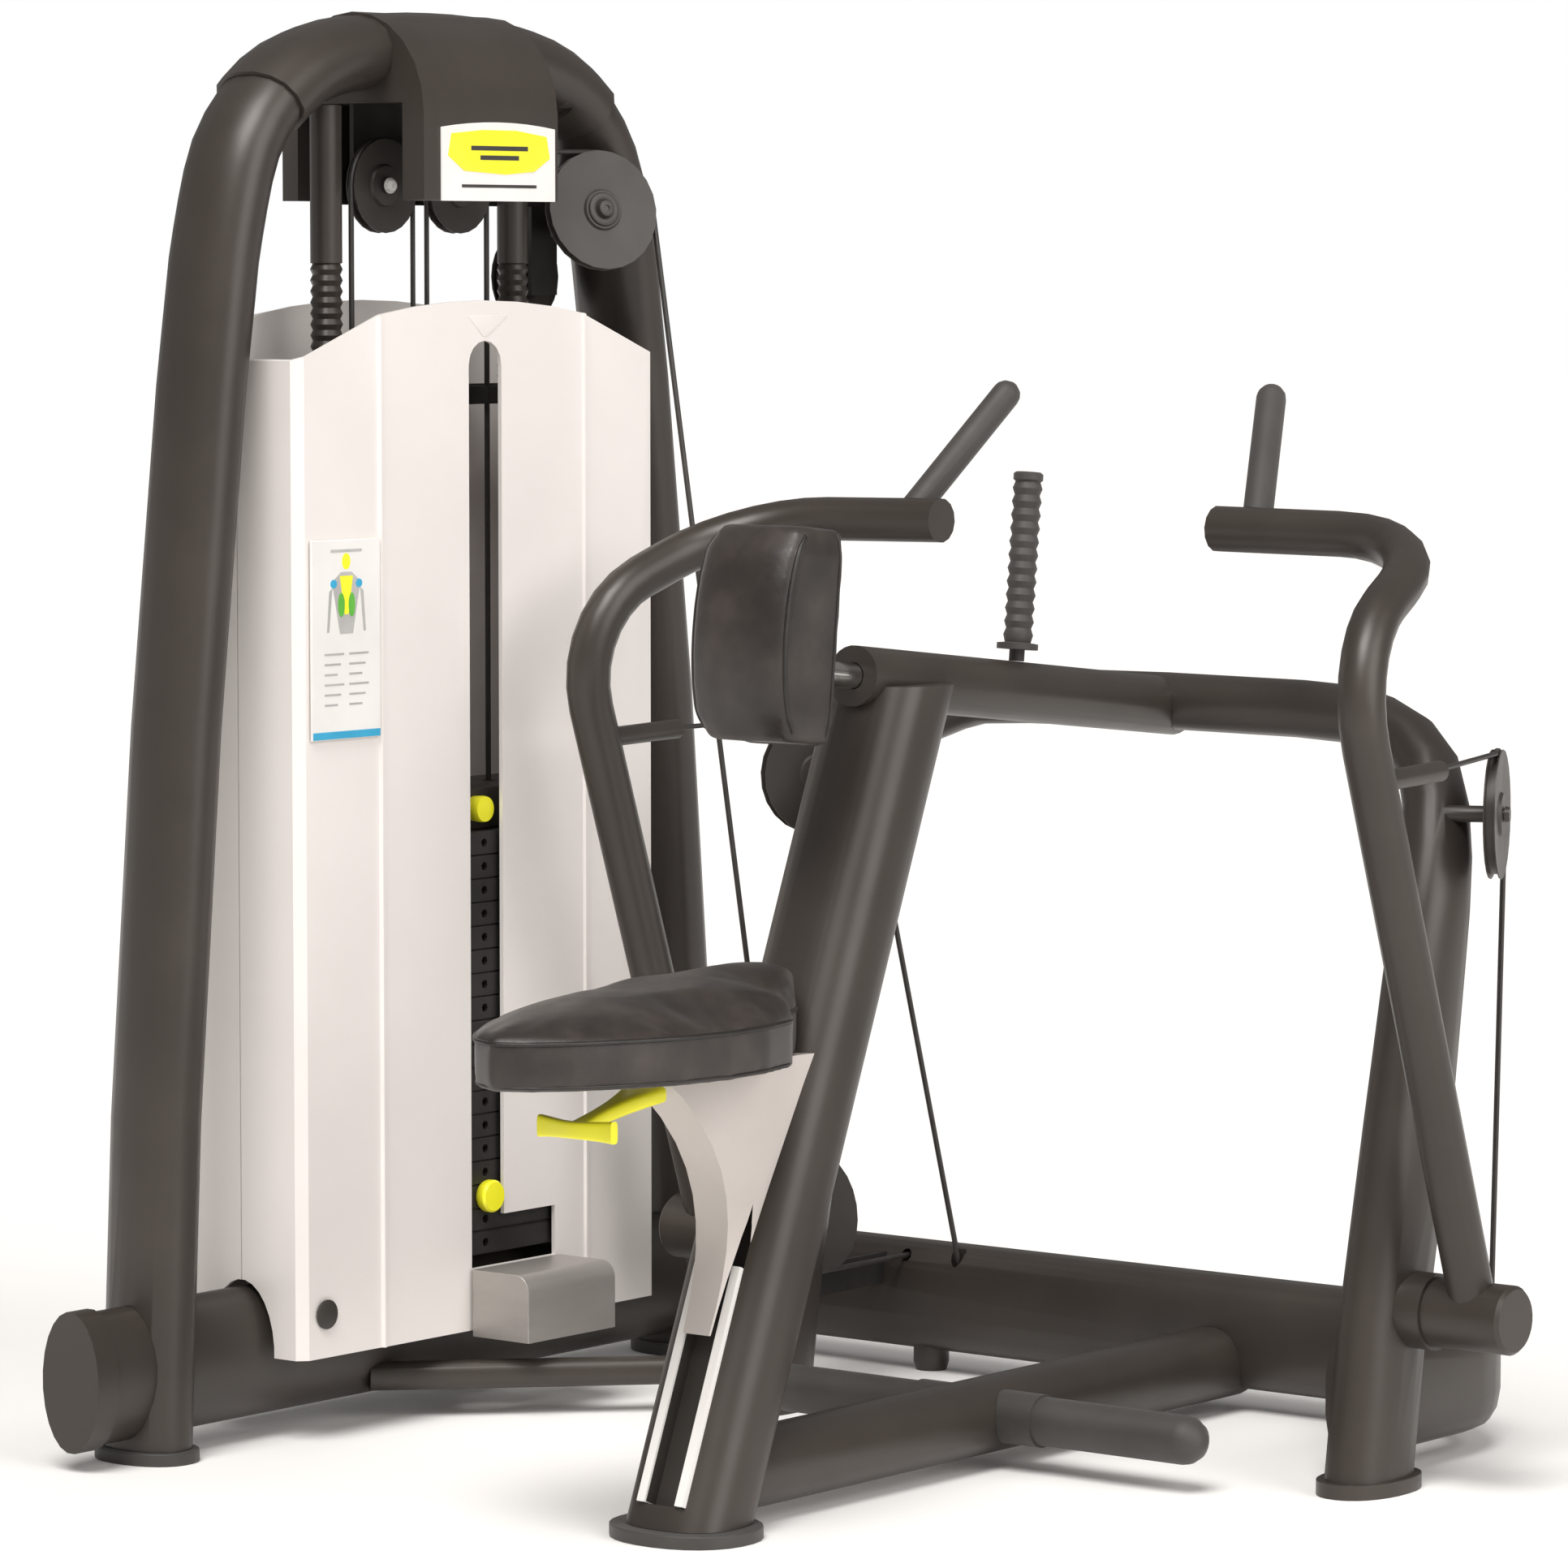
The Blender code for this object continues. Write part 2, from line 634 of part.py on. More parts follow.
def stop_bar():
    """Bar clamped to both guide rods: the stack's upper stop, which also guides two cables."""
    low, high = BELLOWS_FOOT - 0.025, BELLOWS_FOOT - 0.003
    bar = to_object("stop_bar", box((TOWER_X - 0.045, TOWER_Y - 0.180, low),
                                    (TOWER_X - 0.022, TOWER_Y + 0.180, high), 0.003, 1),
                    black_iron())
    for side in (-1, 1):
        middle = TOWER_Y + side * ROD_SPACING
        clamp = box((TOWER_X - 0.040, middle - 0.018, low + 0.001),
                    (TOWER_X + 0.018, middle + 0.018, high - 0.001))
        join(bar, to_object("clamp", clamp, None))
        tail = (PULLEY_A if side < 0 else PULLEY_B).y + side * cable_run(SMALL_PULLEY)
        lug = box((TOWER_X - 0.030, tail - 0.012, low + 0.002),
                  (TOWER_X + 0.012, tail + 0.012, high - 0.002))
        join(bar, to_object("lug", lug, None))
    for side in (-1, 1):
        middle = TOWER_Y + side * ROD_SPACING
        cut(bar, cutter(rod((TOWER_X, middle, low - 0.05), (TOWER_X, middle, high + 0.05),
                            0.0100 + GAP)))
    return cut(bar, *tail_holes(low - 0.05, high + 0.05, 0.0050))


PLATE_LOW = (TOWER_X - 0.045, TOWER_Y - 0.195)
PLATE_HIGH = (TOWER_X + 0.0775, TOWER_Y + 0.195)


def tail_holes(low, high, radius, sides=8):
    """Cutters round the two cables that run down from the outer sides of the top pulleys."""
    run = cable_run(SMALL_PULLEY)
    return [cutter(rod((TOWER_X, y, low), (TOWER_X, y, high), radius, sides))
            for y in (PULLEY_A.y - run, PULLEY_B.y + run)]


def plate_holes(low, high, pin_levels):
    """Cutters for the cables, the guide rods, the selector rod and the selector pin."""
    holes = tail_holes(low - 0.01, high + 0.01, 0.0080)
    for side in (-1, 1):
        y = TOWER_Y + side * ROD_SPACING
        holes.append(cutter(rod((TOWER_X, y, low - 0.01), (TOWER_X, y, high + 0.01), 0.0112, 12)))
    low_end, high_end = (TOWER_X, SELECTOR_Y, low - 0.01), (TOWER_X, SELECTOR_Y, high + 0.01)
    holes.append(cutter(rod(low_end, high_end, 0.0118, 12)))
    for level in pin_levels:
        start, end = (TOWER_X, SELECTOR_Y, level), (TOWER_X + 0.1, SELECTOR_Y, level)
        holes.append(cutter(rod(start, end, 0.0050, 6)))
    return holes


def plate_level(index):
    """Height of a plate's middle, counted from the bottom plate, 0."""
    return STACK_BASE + PLATE_PITCH * (index + 0.5)


def weight_plate(name, index):
    thickness = PLATE_PITCH - GAP
    low = STACK_BASE + PLATE_PITCH * index
    plate = to_object(name, box((*PLATE_LOW, low), (*PLATE_HIGH, low + thickness), 0.0018, 1),
                      black_iron())
    return cut(plate, *plate_holes(low, low + thickness, [plate_level(index)]))


def lifted_plates():
    """The plates above the selector pin move as one, so they are one comb-edged block."""
    low = STACK_BASE + PLATE_PITCH * RESTING_PLATES
    high = STACK_BASE + PLATE_PITCH * STACK_PLATES - GAP
    groove, inset = 0.0009, 0.0030
    outline = [(PLATE_HIGH[0] - groove, low)]
    for index in range(RESTING_PLATES, STACK_PLATES):
        bottom = STACK_BASE + PLATE_PITCH * index
        top = bottom + PLATE_PITCH
        if index > RESTING_PLATES:
            outline.append((PLATE_HIGH[0] - inset, bottom + groove))
        outline += [(PLATE_HIGH[0], bottom + groove), (PLATE_HIGH[0], top - groove)]
        if index < STACK_PLATES - 1:
            outline.append((PLATE_HIGH[0] - inset, top - groove))
    outline += [(PLATE_HIGH[0] - groove, high), (PLATE_LOW[0], high), (PLATE_LOW[0], low)]
    block = to_object("lifted_plates", prism(outline, "Y", PLATE_LOW[1], PLATE_HIGH[1]),
                      black_iron())
    levels = [plate_level(index) for index in range(RESTING_PLATES, STACK_PLATES)]
    return cut(block, *plate_holes(low, high, levels))


STACK_TOP = STACK_BASE + PLATE_PITCH * STACK_PLATES


def carriage():
    """Top plate of the stack, which the lift cable carries."""
    low, high = STACK_TOP, STACK_TOP + 0.045
    block = to_object("carriage", box((TOWER_X - 0.055, PLATE_LOW[1] + 0.008, low),
                                      (TOWER_X + 0.0600, PLATE_HIGH[1] - 0.008, high), 0.003, 2),
                      black_plastic())
    holes = plate_holes(low, high, [])
    bpy.data.objects.remove(holes.pop())
    cut(block, *holes)
    socket = rod((TOWER_X, SELECTOR_Y, low - 0.01), (TOWER_X, SELECTOR_Y, low + 0.020), 0.0118)
    cut(block, cutter(socket))
    return block


def carriage_knob():
    centre = (TOWER_X + 0.0603, SELECTOR_Y + 0.004, STACK_TOP + 0.0230)
    knob = turned([(0, 0), (0, 0.0135), (0.012, 0.0143), (0.016, 0.0135), (0.0175, 0)], centre, X)
    return to_object("carriage_knob", knob, yellow_plastic())


def selector_rod():
    """Rod under the carriage with one cross hole for each plate."""
    low, high = STACK_BASE + 0.003, STACK_TOP + 0.0195
    shaft = rod((TOWER_X, SELECTOR_Y, low), (TOWER_X, SELECTOR_Y, high), 0.0105, 12)
    made = to_object("selector_rod", shaft, steel())
    for index in range(STACK_PLATES):
        level = plate_level(index)
        start, end = ((TOWER_X + reach, SELECTOR_Y, level) for reach in (-0.03, 0.03))
        cut(made, cutter(rod(start, end, 0.0050, 6)))
    return made


def selector_pin():
    """Pin with a round yellow head, through the lowest lifted plate and the selector rod."""
    level = plate_level(RESTING_PLATES)
    face = PLATE_HIGH[0]
    pin = rod((TOWER_X - 0.0105, SELECTOR_Y, level), (face + 0.003, SELECTOR_Y, level), 0.0040, 10)
    pivot = (face, SELECTOR_Y, level)
    made = to_object("selector_pin", pin, yellow_plastic(), pivot)
    head = turned([(0.0006, 0), (0.0006, 0.0160), (0.004, 0.0175), (0.011, 0.0175),
                   (0.0136, 0.0155), (0.0140, 0)], pivot, X)
    return join(made, to_object("head", head, None))


# Pulleys and cables ------------------------------------------------------------------

def pulley(name, centre, axis, radius, thickness=0.0140):
    """Grooved wheel with a raised hub, turning on an axle through its bore."""
    half, bore = thickness / 2, AXLE_RADIUS + 0.0006
    profile = [(-half, bore), (-half, 0.021), (-half + 0.003, 0.023), (-half + 0.001, radius),
               (-0.0046, radius), (-0.0038, radius - GROOVE), (0.0038, radius - GROOVE),
               (0.0046, radius), (half - 0.001, radius),
               (half - 0.003, 0.023), (half, 0.021), (half, bore)]
    wheel = turned(profile, (0, 0, 0), axis, sides=24)
    bmesh.ops.translate(wheel, verts=wheel.verts, vec=centre)
    return to_object(name, wheel, black_plastic(), centre, sharp=30.0)


def axle_mesh(centre, axis, back, front):
    """Axle through a pulley: from back to front along axis, with a bolt head in front."""
    axis = Vector(axis).normalized()
    head = front + 0.005
    return turned([(back, 0), (back, 0.0085), (-0.0085, 0.0085), (-0.0085, AXLE_RADIUS),
                   (front, AXLE_RADIUS), (front, 0.0085), (head, 0.0075), (head, 0)],
                  centre, axis, sides=16)


def turn_about_z(degrees):
    angle = math.radians(degrees)
    return Vector((math.cos(angle), math.sin(angle), 0))


SMALL_AXLE_Z = TOWER_HEIGHT - 0.191
PULLEY_A = Vector((TOWER_X, TOWER_Y - 0.062, SMALL_AXLE_Z))
PULLEY_B = Vector((TOWER_X, TOWER_Y + 0.058, SMALL_AXLE_Z))
CORNER_PULLEY = Vector((TOWER_X + 0.058, TOWER_Y + 0.230, TOWER_HEIGHT - 0.2155))
REAR_PULLEY = Vector((TOWER_X - 0.062, TOWER_Y + 0.243, TOWER_HEIGHT - 0.2875))
LOWER_PULLEY = Vector((-0.4265, 0.750, 0.1930))
# Direction of the cable between these two pulleys; it leaves the upper one beside its middle.
CABLE_SLANT = (LOWER_PULLEY - CORNER_PULLEY - Vector((0.0077, 0, 0))) * Vector((1, 0, 1))
CABLE_SLANT.normalize()
CORNER_AXIS = CABLE_SLANT.cross(Vector((0.375, 0.927, 0.0))).normalized()
LOWER_AXIS = Y.cross(CABLE_SLANT) * -1
LEVER_PULLEY = Vector((LEG_SPREAD + 0.050, 0.762, 0.673))
LEVER_PULLEY_TURN = 25


def bracket_shapes(grow=0.0):
    """The bracket's long plate, the hanger up to the arch and the drop to the rear pulley."""
    back, edge = TOWER_X - 0.034, Vector((grow, grow, grow))
    spans = [((0.0, -0.105, SMALL_AXLE_Z - 0.020), (0.0060, 0.262, SMALL_AXLE_Z + 0.022)),
             ((0.0002, -0.075, SMALL_AXLE_Z), (0.0058, 0.075, TOWER_HEIGHT - 0.0780)),
             ((0.0003, 0.215, REAR_PULLEY.z - 0.020), (0.0057, 0.258, SMALL_AXLE_Z))]
    return [box(Vector((back + low[0], TOWER_Y + low[1], low[2])) - edge,
                Vector((back + high[0], TOWER_Y + high[1], high[2])) + edge)
            for low, high in spans]


def pulley_bracket():
    """Steel plate behind the top pulleys, with their axles, hung from the arch."""
    shapes = bracket_shapes()
    plate = to_object("pulley_bracket", shapes[0], black_iron())
    for shape in shapes[1:]:
        join(plate, to_object("arm", shape, None))
    for centre in (PULLEY_A, PULLEY_B):
        join(plate, to_object("axle", axle_mesh(centre, X, -0.031, 0.0085), None))
    join(plate, to_object("axle", axle_mesh(REAR_PULLEY, -X, -0.031, 0.0085), None))
    cut(plate, cutter(tower_mesh(GAP)))
    return plate


def cable(name, points, radius=CABLE_RADIUS, sides=8):
    """A cable along straight runs and the arcs that its caller gives."""
    points = [Vector(point) for point in points]
    tube = bmesh.new()
    rings = []
    wide = None
    for index, point in enumerate(points):
        ahead = (points[min(index + 1, len(points) - 1)] - points[max(index - 1, 0)]).normalized()
        wide = ahead.orthogonal() if wide is None else wide
        wide = (wide - ahead * wide.dot(ahead)).normalized()
        other = ahead.cross(wide)
        rings.append([tube.verts.new(point + wide * (u * radius) + other * (v * radius))
                      for u, v in ring_of(sides, 2.0)])
    for low, high in zip(rings, rings[1:]):
        for index in range(sides):
            following = (index + 1) % sides
            tube.faces.new((low[index], low[following], high[following], high[index]))
    tube.faces.new(rings[0][::-1])
    tube.faces.new(rings[-1])
    return to_object(name, tube, cable_black(), sharp=60.0)


def cable_run(radius):
    """Radius of the centre line of a cable that lies in the groove of a pulley."""
    return radius - GROOVE + CABLE_RADIUS + 0.0008


def over_pulley(centre, axis, radius, start, end):
    """Arc of a cable lying in a pulley's groove; angles from level, counted about axis."""
    axis = Vector(axis).normalized()
    level = Z.cross(axis).normalized()
    rise = axis.cross(level)
    run, steps = cable_run(radius), math.ceil(abs(end - start) / 12)
    points = []
    for step in range(steps + 1):
        angle = math.radians(start + (end - start) * step / steps)
        points.append(centre + level * (run * math.cos(angle)) + rise * (run * math.sin(angle)))
    return points


def lift_cables():
    """The two runs between the carriage and the small top pulleys stretch as the stack rises."""
    run = cable_run(SMALL_PULLEY)
    low, high = STACK_TOP + 0.0453, SMALL_AXLE_Z - 0.0010
    for name, y in (("lift_cable_near", PULLEY_A.y + run), ("lift_cable_far", PULLEY_B.y - run)):
        cable(name, [(TOWER_X, y, low), (TOWER_X, y, high)])


def tail_cables():
    """From each small top pulley down through the stack into the base tube."""
    for name, centre, start, end in (("tail_cable_near", PULLEY_A, 0, 180),
                                     ("tail_cable_far", PULLEY_B, 180, 0)):
        arc = over_pulley(centre, X, SMALL_PULLEY, start, end)
        foot = Vector((arc[-1].x, arc[-1].y, 0.148))
        cable(name, arc + [foot])


def tower_cable():
    """From the hood over the corner pulley, then round the lower pulley into the cross-beam."""
    top = over_pulley(CORNER_PULLEY, CORNER_AXIS, BIG_PULLEY, 90, 3)
    lead = top[0] - Z.cross(CORNER_AXIS).normalized() * 0.030
    inside_hood = Vector((TOWER_X + 0.027, TOWER_Y + 0.100, lead.z))
    top = [inside_hood, lead] + top
    bottom = over_pulley(LOWER_PULLEY, LOWER_AXIS, BIG_PULLEY, 180, 270)
    end = Vector((bottom[-1].x, BEAM_Y - 0.018, bottom[-1].z))
    return cable("tower_cable", top + bottom + [end])


def lower_pulley_bracket():
    """Axle of the lower pulley, on an angled lug that stands out from the cross-beam."""
    side = (LOWER_PULLEY.x - 0.0210, LOWER_PULLEY.x - 0.0150)
    front, foot, head = LOWER_PULLEY.y - 0.018, 0.096, LOWER_PULLEY.z + 0.018
    lug = box((side[0], front, foot), (side[1], LOWER_PULLEY.y + 0.018, head))
    made = to_object("lower_bracket", lug, black_iron())
    join(made, to_object("axle", axle_mesh(LOWER_PULLEY, LOWER_AXIS, -0.019, 0.0085), None))
    arm = box((side[0] + 0.0002, front + 0.0002, foot + 0.0002),
              (side[1] - 0.0002, BEAM_Y - 0.020, foot + 0.035))
    join(made, to_object("arm", arm, None))
    return cut(made, cutter(beam_mesh(GAP)))


# The user's side -----------------------------------------------------------------------

def seat_post():
    """Leaning oval post with a guide slot low in its front and a saddle for the pad tube."""
    post = to_object("seat_post", post_mesh(), frame_paint())
    lean = math.atan(POST_LEAN)
    slot = box((-0.0285, -0.0200, 0.0), (0.0285, 0.0200, 0.345))
    turn = Matrix.Rotation(-lean, 4, "X")
    bmesh.ops.transform(slot, matrix=turn, verts=slot.verts)
    front = POST_SECTION[1]
    bmesh.ops.translate(slot, verts=slot.verts, vec=post_point(0.036, -front))
    return cut(post, cutter(slot), cutter(floor_tube_mesh(GAP)), cutter(pad_tube_mesh(GAP)))


def seat_rails():
    """Guide channel in the post's slot: a floor and two proud lips."""
    lean = math.atan(POST_LEAN)
    wide, lip, length = 0.0282, 0.0095, 0.240
    floor, proud = 0.0195, -0.0030
    outline = [(-wide, floor), (wide, floor), (wide, proud), (wide - lip, proud),
               (wide - lip, floor - 0.004), (-wide + lip, floor - 0.004), (-wide + lip, proud),
               (-wide, proud)]
    channel = prism(outline, "Z", 0.001, length)
    bmesh.ops.transform(channel, matrix=Matrix.Rotation(-lean, 4, "X"), verts=channel.verts)
    bmesh.ops.translate(channel, verts=channel.verts, vec=post_point(0.036, -POST_SECTION[1]))
    return to_object("seat_rails", channel, white_plastic())


SEAT_REST = 0.460


def seat_bracket():
    """Tapering shell under the seat that rides on the front of the post."""
    levels = np.linspace(0.195, SEAT_REST - GAP, 11)
    shell = bmesh.new()
    rings = []
    for level in levels:
        part = (level - levels[0]) / (levels[-1] - levels[0])
        back = POST_LEAN * level + 0.010
        front = POST_LEAN * level - 0.0535 - 0.010 - 0.195 * part ** 2.6
        nose, wide = 0.016 + 0.010 * part, 0.030 + 0.022 * part
        shoulder = POST_LEAN * level - 0.040
        pairs = [(-nose, front), (nose, front), (wide * 0.8, shoulder - 0.03 * part),
                 (wide, back), (-wide, back), (-wide * 0.8, shoulder - 0.03 * part)]
        rings.append([shell.verts.new((x, y, level)) for x, y in pairs])
    for low, high in zip(rings, rings[1:]):
        for index in range(6):
            following = (index + 1) % 6
            shell.faces.new((low[index], low[following], high[following], high[index]))
    shell.faces.new(rings[0][::-1])
    shell.faces.new(rings[-1])
    made = to_object("seat_bracket", shell, shroud_sheet(), post_point(SEAT_REST))
    cut(made, cutter(post_mesh(PIVOT_GAP, low=-0.05, high=1.0)))
    lean = math.atan(POST_LEAN)
    rails = box((-0.0294, -0.0075, -0.3), (0.0294, 0.03, 0.8))
    bmesh.ops.transform(rails, matrix=Matrix.Rotation(-lean, 4, "X"), verts=rails.verts)
    bmesh.ops.translate(rails, verts=rails.verts, vec=post_point(0.036, -POST_SECTION[1]))
    return cut(made, cutter(rails))


def seat_outline():
    """Half of the saddle's plan, from the middle of its back to the middle of its horn."""
    half = [(0.0, -0.288), (0.032, -0.272), (0.062, -0.238), (0.090, -0.190), (0.110, -0.140),
            (0.120, -0.080), (0.117, -0.020), (0.102, 0.040), (0.080, 0.054), (0.060, 0.072),
            (0.049, 0.108), (0.030, 0.135), (0.0, 0.142)]
    return half + [(-x, y) for x, y in reversed(half[1:-1])]


def seat_cushion():
    """Saddle-shaped cushion: an upright skirt and a domed top that rises to a horn."""
    outline = seat_outline()
    middle = Vector((0.0, -0.050))
    cushion = bmesh.new()
    layers = [(0.97, 0.0), (1.0, 0.004), (1.0, 0.046), (0.985, 0.052), (0.90, 0.060),
              (0.72, 0.065), (0.45, 0.068), (0.20, 0.069)]
    rings = []
    for scale, rise in layers:
        ring = []
        for x, y in outline:
            place = middle + (Vector((x, y)) - middle) * scale
            lift = 0.0
            if rise > 0.047:
                lift = 0.032 * max(0.0, (place.y + 0.080) / 0.220) ** 1.5
            ring.append(cushion.verts.new((place.x, place.y, SEAT_REST + rise + lift)))
        rings.append(ring)
    for low, high in zip(rings, rings[1:]):
        for index in range(len(outline)):
            following = (index + 1) % len(outline)
            cushion.faces.new((low[index], low[following], high[following], high[index]))
    cushion.faces.new(rings[0][::-1])
    cushion.faces.new(rings[-1])
    made = to_object("seat_cushion", cushion, leather(), post_point(SEAT_REST), sharp=50.0)
    return cut(made, cutter(post_mesh(0.004, low=0.2)))


SEAT_LEVER_PIVOT = Vector((0, -0.076, 0.4440))


def seat_lever():
    """Yellow T-handle in front of the bracket that frees the seat."""
    x, y, z = SEAT_LEVER_PIVOT
    stem = [(y + 0.016, z + 0.003), (y + 0.016, z - 0.010), (y - 0.086, z - 0.034),
            (y - 0.090, z - 0.022), (y - 0.030, z + 0.004)]
    made = to_object("seat_lever", prism(stem, "X", -0.017, 0.017), yellow_plastic(),
                     SEAT_LEVER_PIVOT)
    bar = [(y - 0.080, z - 0.014), (y - 0.080, z - 0.038), (y - 0.100, z - 0.042),
           (y - 0.100, z - 0.017)]
    join(made, to_object("bar", prism(bar, "X", -0.046, 0.046), None))
    return made


def pad_tube():
    """Tube that holds the chest pad's rod, open at the user's end."""
    tube = to_object("pad_tube", pad_tube_mesh(), frame_paint())
    start, end = (PAD_TUBE_START + PAD_TUBE_AXIS * along for along in (-0.010, 0.260))
    bore = rod(start, end, 0.0130 + PIVOT_GAP, 24)
    return cut(tube, cutter(bore), cutter(front_arch_mesh(GAP)))


PAD_DROP = -0.033
PAD_CENTRE = PAD_TUBE_START - PAD_TUBE_AXIS * 0.1505 - X.cross(PAD_TUBE_AXIS) * PAD_DROP
PAD_HALF_WIDTH, PAD_HALF_HEIGHT = 0.058, 0.1050


def pad_frame_point(across, along, up):
    """A point given in the chest pad's leaning frame: along the tube's axis and across it."""
    axis_up = X.cross(PAD_TUBE_AXIS)
    return PAD_CENTRE + X * across + PAD_TUBE_AXIS * along + axis_up * up


def pad_rod():
    """Chrome rod in the pad tube with the pad's back plate and the tube's bearing ring."""
    drop = PAD_DROP
    start, end = pad_frame_point(0, 0.056, drop), pad_frame_point(0, 0.250, drop)
    made = to_object("pad_rod", rod(start, end, 0.0130, 20), steel(), PAD_TUBE_START)
    flange = rod(pad_frame_point(0, 0.0523, drop), pad_frame_point(0, 0.060, drop), 0.0240, 24)
    return join(made, to_object("flange", flange, None))


def chest_pad():
    """Tall narrow cushion whose front bulges towards the user."""
    levels = 9
    layers = []
    for index in range(levels):
        up = -PAD_HALF_HEIGHT + 2 * PAD_HALF_HEIGHT * index / (levels - 1)
        part = up / PAD_HALF_HEIGHT
        bulge = 0.037 * math.sqrt(max(0.0, 1 - 0.96 * part * part))
        layers.append((up, bulge))
    cushion = bmesh.new()
    rings = []
    for up, bulge in layers:
        edge = 0.012 if abs(up) > PAD_HALF_HEIGHT * 0.9 else 0.0
        wide = PAD_HALF_WIDTH - edge * 0.4
        front = -0.0050 - bulge
        pairs = [(-wide, 0.052), (wide, 0.052), (wide, front + 0.012), (wide - 0.007, front + 0.002),
                 (wide * 0.5, front - 0.003), (-wide * 0.5, front - 0.003),
                 (-wide + 0.007, front + 0.002), (-wide, front + 0.012)]
        rings.append([cushion.verts.new(pad_frame_point(x, y, up)) for x, y in pairs])
    for low, high in zip(rings, rings[1:]):
        for index in range(8):
            following = (index + 1) % 8
            cushion.faces.new((low[index], low[following], high[following], high[index]))
    cushion.faces.new(rings[0][::-1])
    cushion.faces.new(rings[-1])
    made = to_object("chest_pad", cushion, leather(), PAD_TUBE_START, sharp=50.0)
    bevel = made.modifiers.new("soft edges", "BEVEL")
    bevel.width, bevel.segments, bevel.limit_method = 0.006, 2, "ANGLE"
    bevel.angle_limit = math.radians(40)
    return made


def fixed_grip():
    """Ribbed rubber grip with a flange, standing on the pad tube."""
    up = X.cross(PAD_TUBE_AXIS)
    foot = PAD_TUBE_START + PAD_TUBE_AXIS * 0.272 + up * (PAD_TUBE_RADIUS + GAP)
    profile = [(0, 0), (0, 0.0080), (0.012, 0.0080), (0.012, 0.0215), (0.018, 0.0215),
               (0.019, 0.0135)]
    pitch = 0.0136
    for index in range(12):
        start = 0.020 + pitch * index
        profile += [(start + pitch * 0.50, 0.0155), (start + pitch, 0.0130)]
    top = 0.020 + pitch * 12
    profile += [(top + 0.002, 0.0155), (top + 0.008, 0.0155), (top + 0.010, 0.0130), (top + 0.010, 0)]
    return to_object("fixed_grip", turned(profile, foot, up, 14), rubber())


def front_arch():
    """Front legs and top bar, with the lever hubs' flanges and the pulleys' axles."""
    arch = to_object("front_arch", front_arch_mesh(), frame_paint())
    for side in (-1, 1):
        outline = [(side * LEG_SPREAD + 0.0425 * u, 0.612 + 0.0675 * v) for u, v in ring_of(28, 2.2)]
        join(arch, to_object("foot", prism(outline, "Z", 0.0, 0.0150), None))
        flange = rod((side * 0.380, HUB_Y, HUB_Z), (side * 0.4450, HUB_Y, HUB_Z), 0.0388, 28)
        join(arch, to_object("flange", flange, None))
        pin = rod((side * 0.400, HUB_Y, HUB_Z), (side * 0.500, HUB_Y, HUB_Z), 0.0150, 20)
        join(arch, to_object("pin", pin, None))
        axis = turn_about_z(LEVER_PULLEY_TURN)
        axis.x *= side
        centre = Vector((side * LEVER_PULLEY.x, LEVER_PULLEY.y, LEVER_PULLEY.z))
        join(arch, to_object("axle", axle_mesh(centre, axis, -0.075, 0.0085), None))
    return arch


def cross_beam():
    """Tall beam on the floor from the tower to the right leg, on two rubber feet."""
    beam = to_object("cross_beam", beam_mesh(), frame_paint())
    for x in (-0.400, 0.200):
        foot = turned([(0, 0), (0, 0.017), (0.010, 0.020), (0.040, 0.020), (0.040, 0)],
                      (x, BEAM_Y, 0.0), Z, 20)
        join(beam, to_object("foot", foot, None))
    for side in (-1, 1):
        start = (side * CABLE_ENTRY.x, CABLE_ENTRY.y, CABLE_ENTRY.z - 0.006)
        end = (side * CABLE_ENTRY.x, CABLE_ENTRY.y, BEAM_Z + 0.1)
        cut(beam, cutter(rod(start, end, 0.0085, 12)))
    exit_point = over_pulley(LOWER_PULLEY, LOWER_AXIS, BIG_PULLEY, 180, 270)[-1]
    start, end = ((exit_point.x, BEAM_Y - reach, exit_point.z) for reach in (0.100, 0.012))
    cut(beam, cutter(rod(start, end, 0.0070, 12)))
    caps = [cutter(cap) for cap in base_cap_meshes(GAP)]
    return cut(beam, cutter(front_arch_mesh(GAP)), cutter(base_tube_mesh(GAP)), *caps)


def floor_tube():
    tube = to_object("floor_tube", floor_tube_mesh(), frame_paint())
    return cut(tube, cutter(beam_mesh(GAP)))


def foot_peg(name, side):
    """Foot rest across the floor tube, with a collar near the tube and a round end."""
    y, z, radius = 0.480, 0.0545, 0.0250
    peg = sweep([(side * 0.020, y, z), (side * 0.252, y, z)], (radius, radius), Z, sides=20,
                rounded=(False, True))
    made = to_object(name, peg, rubber())
    collar = rod((side * 0.020, y, z), (side * 0.078, y, z), radius + 0.0022, 24)
    join(made, to_object("collar", collar, None))
    return cut(made, cutter(floor_tube_mesh(GAP)))


def brace_bar():
    """Low bar from the tower's base tube to the left front leg."""
    path = [(TOWER_X + 0.020, 0.302, 0.045), (-LEG_SPREAD, 0.605, 0.045)]
    bar = to_object("brace_bar", sweep(path, (0.0150, 0.0160), Z, sides=16, power=3.0),
                    frame_paint())
    return cut(bar, cutter(front_arch_mesh(GAP)), cutter(base_tube_mesh(GAP)))


# Levers ----------------------------------------------------------------------------------

ANCHOR_TIP = Vector((LEVER_X - 0.0060, 0.5800, 0.7300))


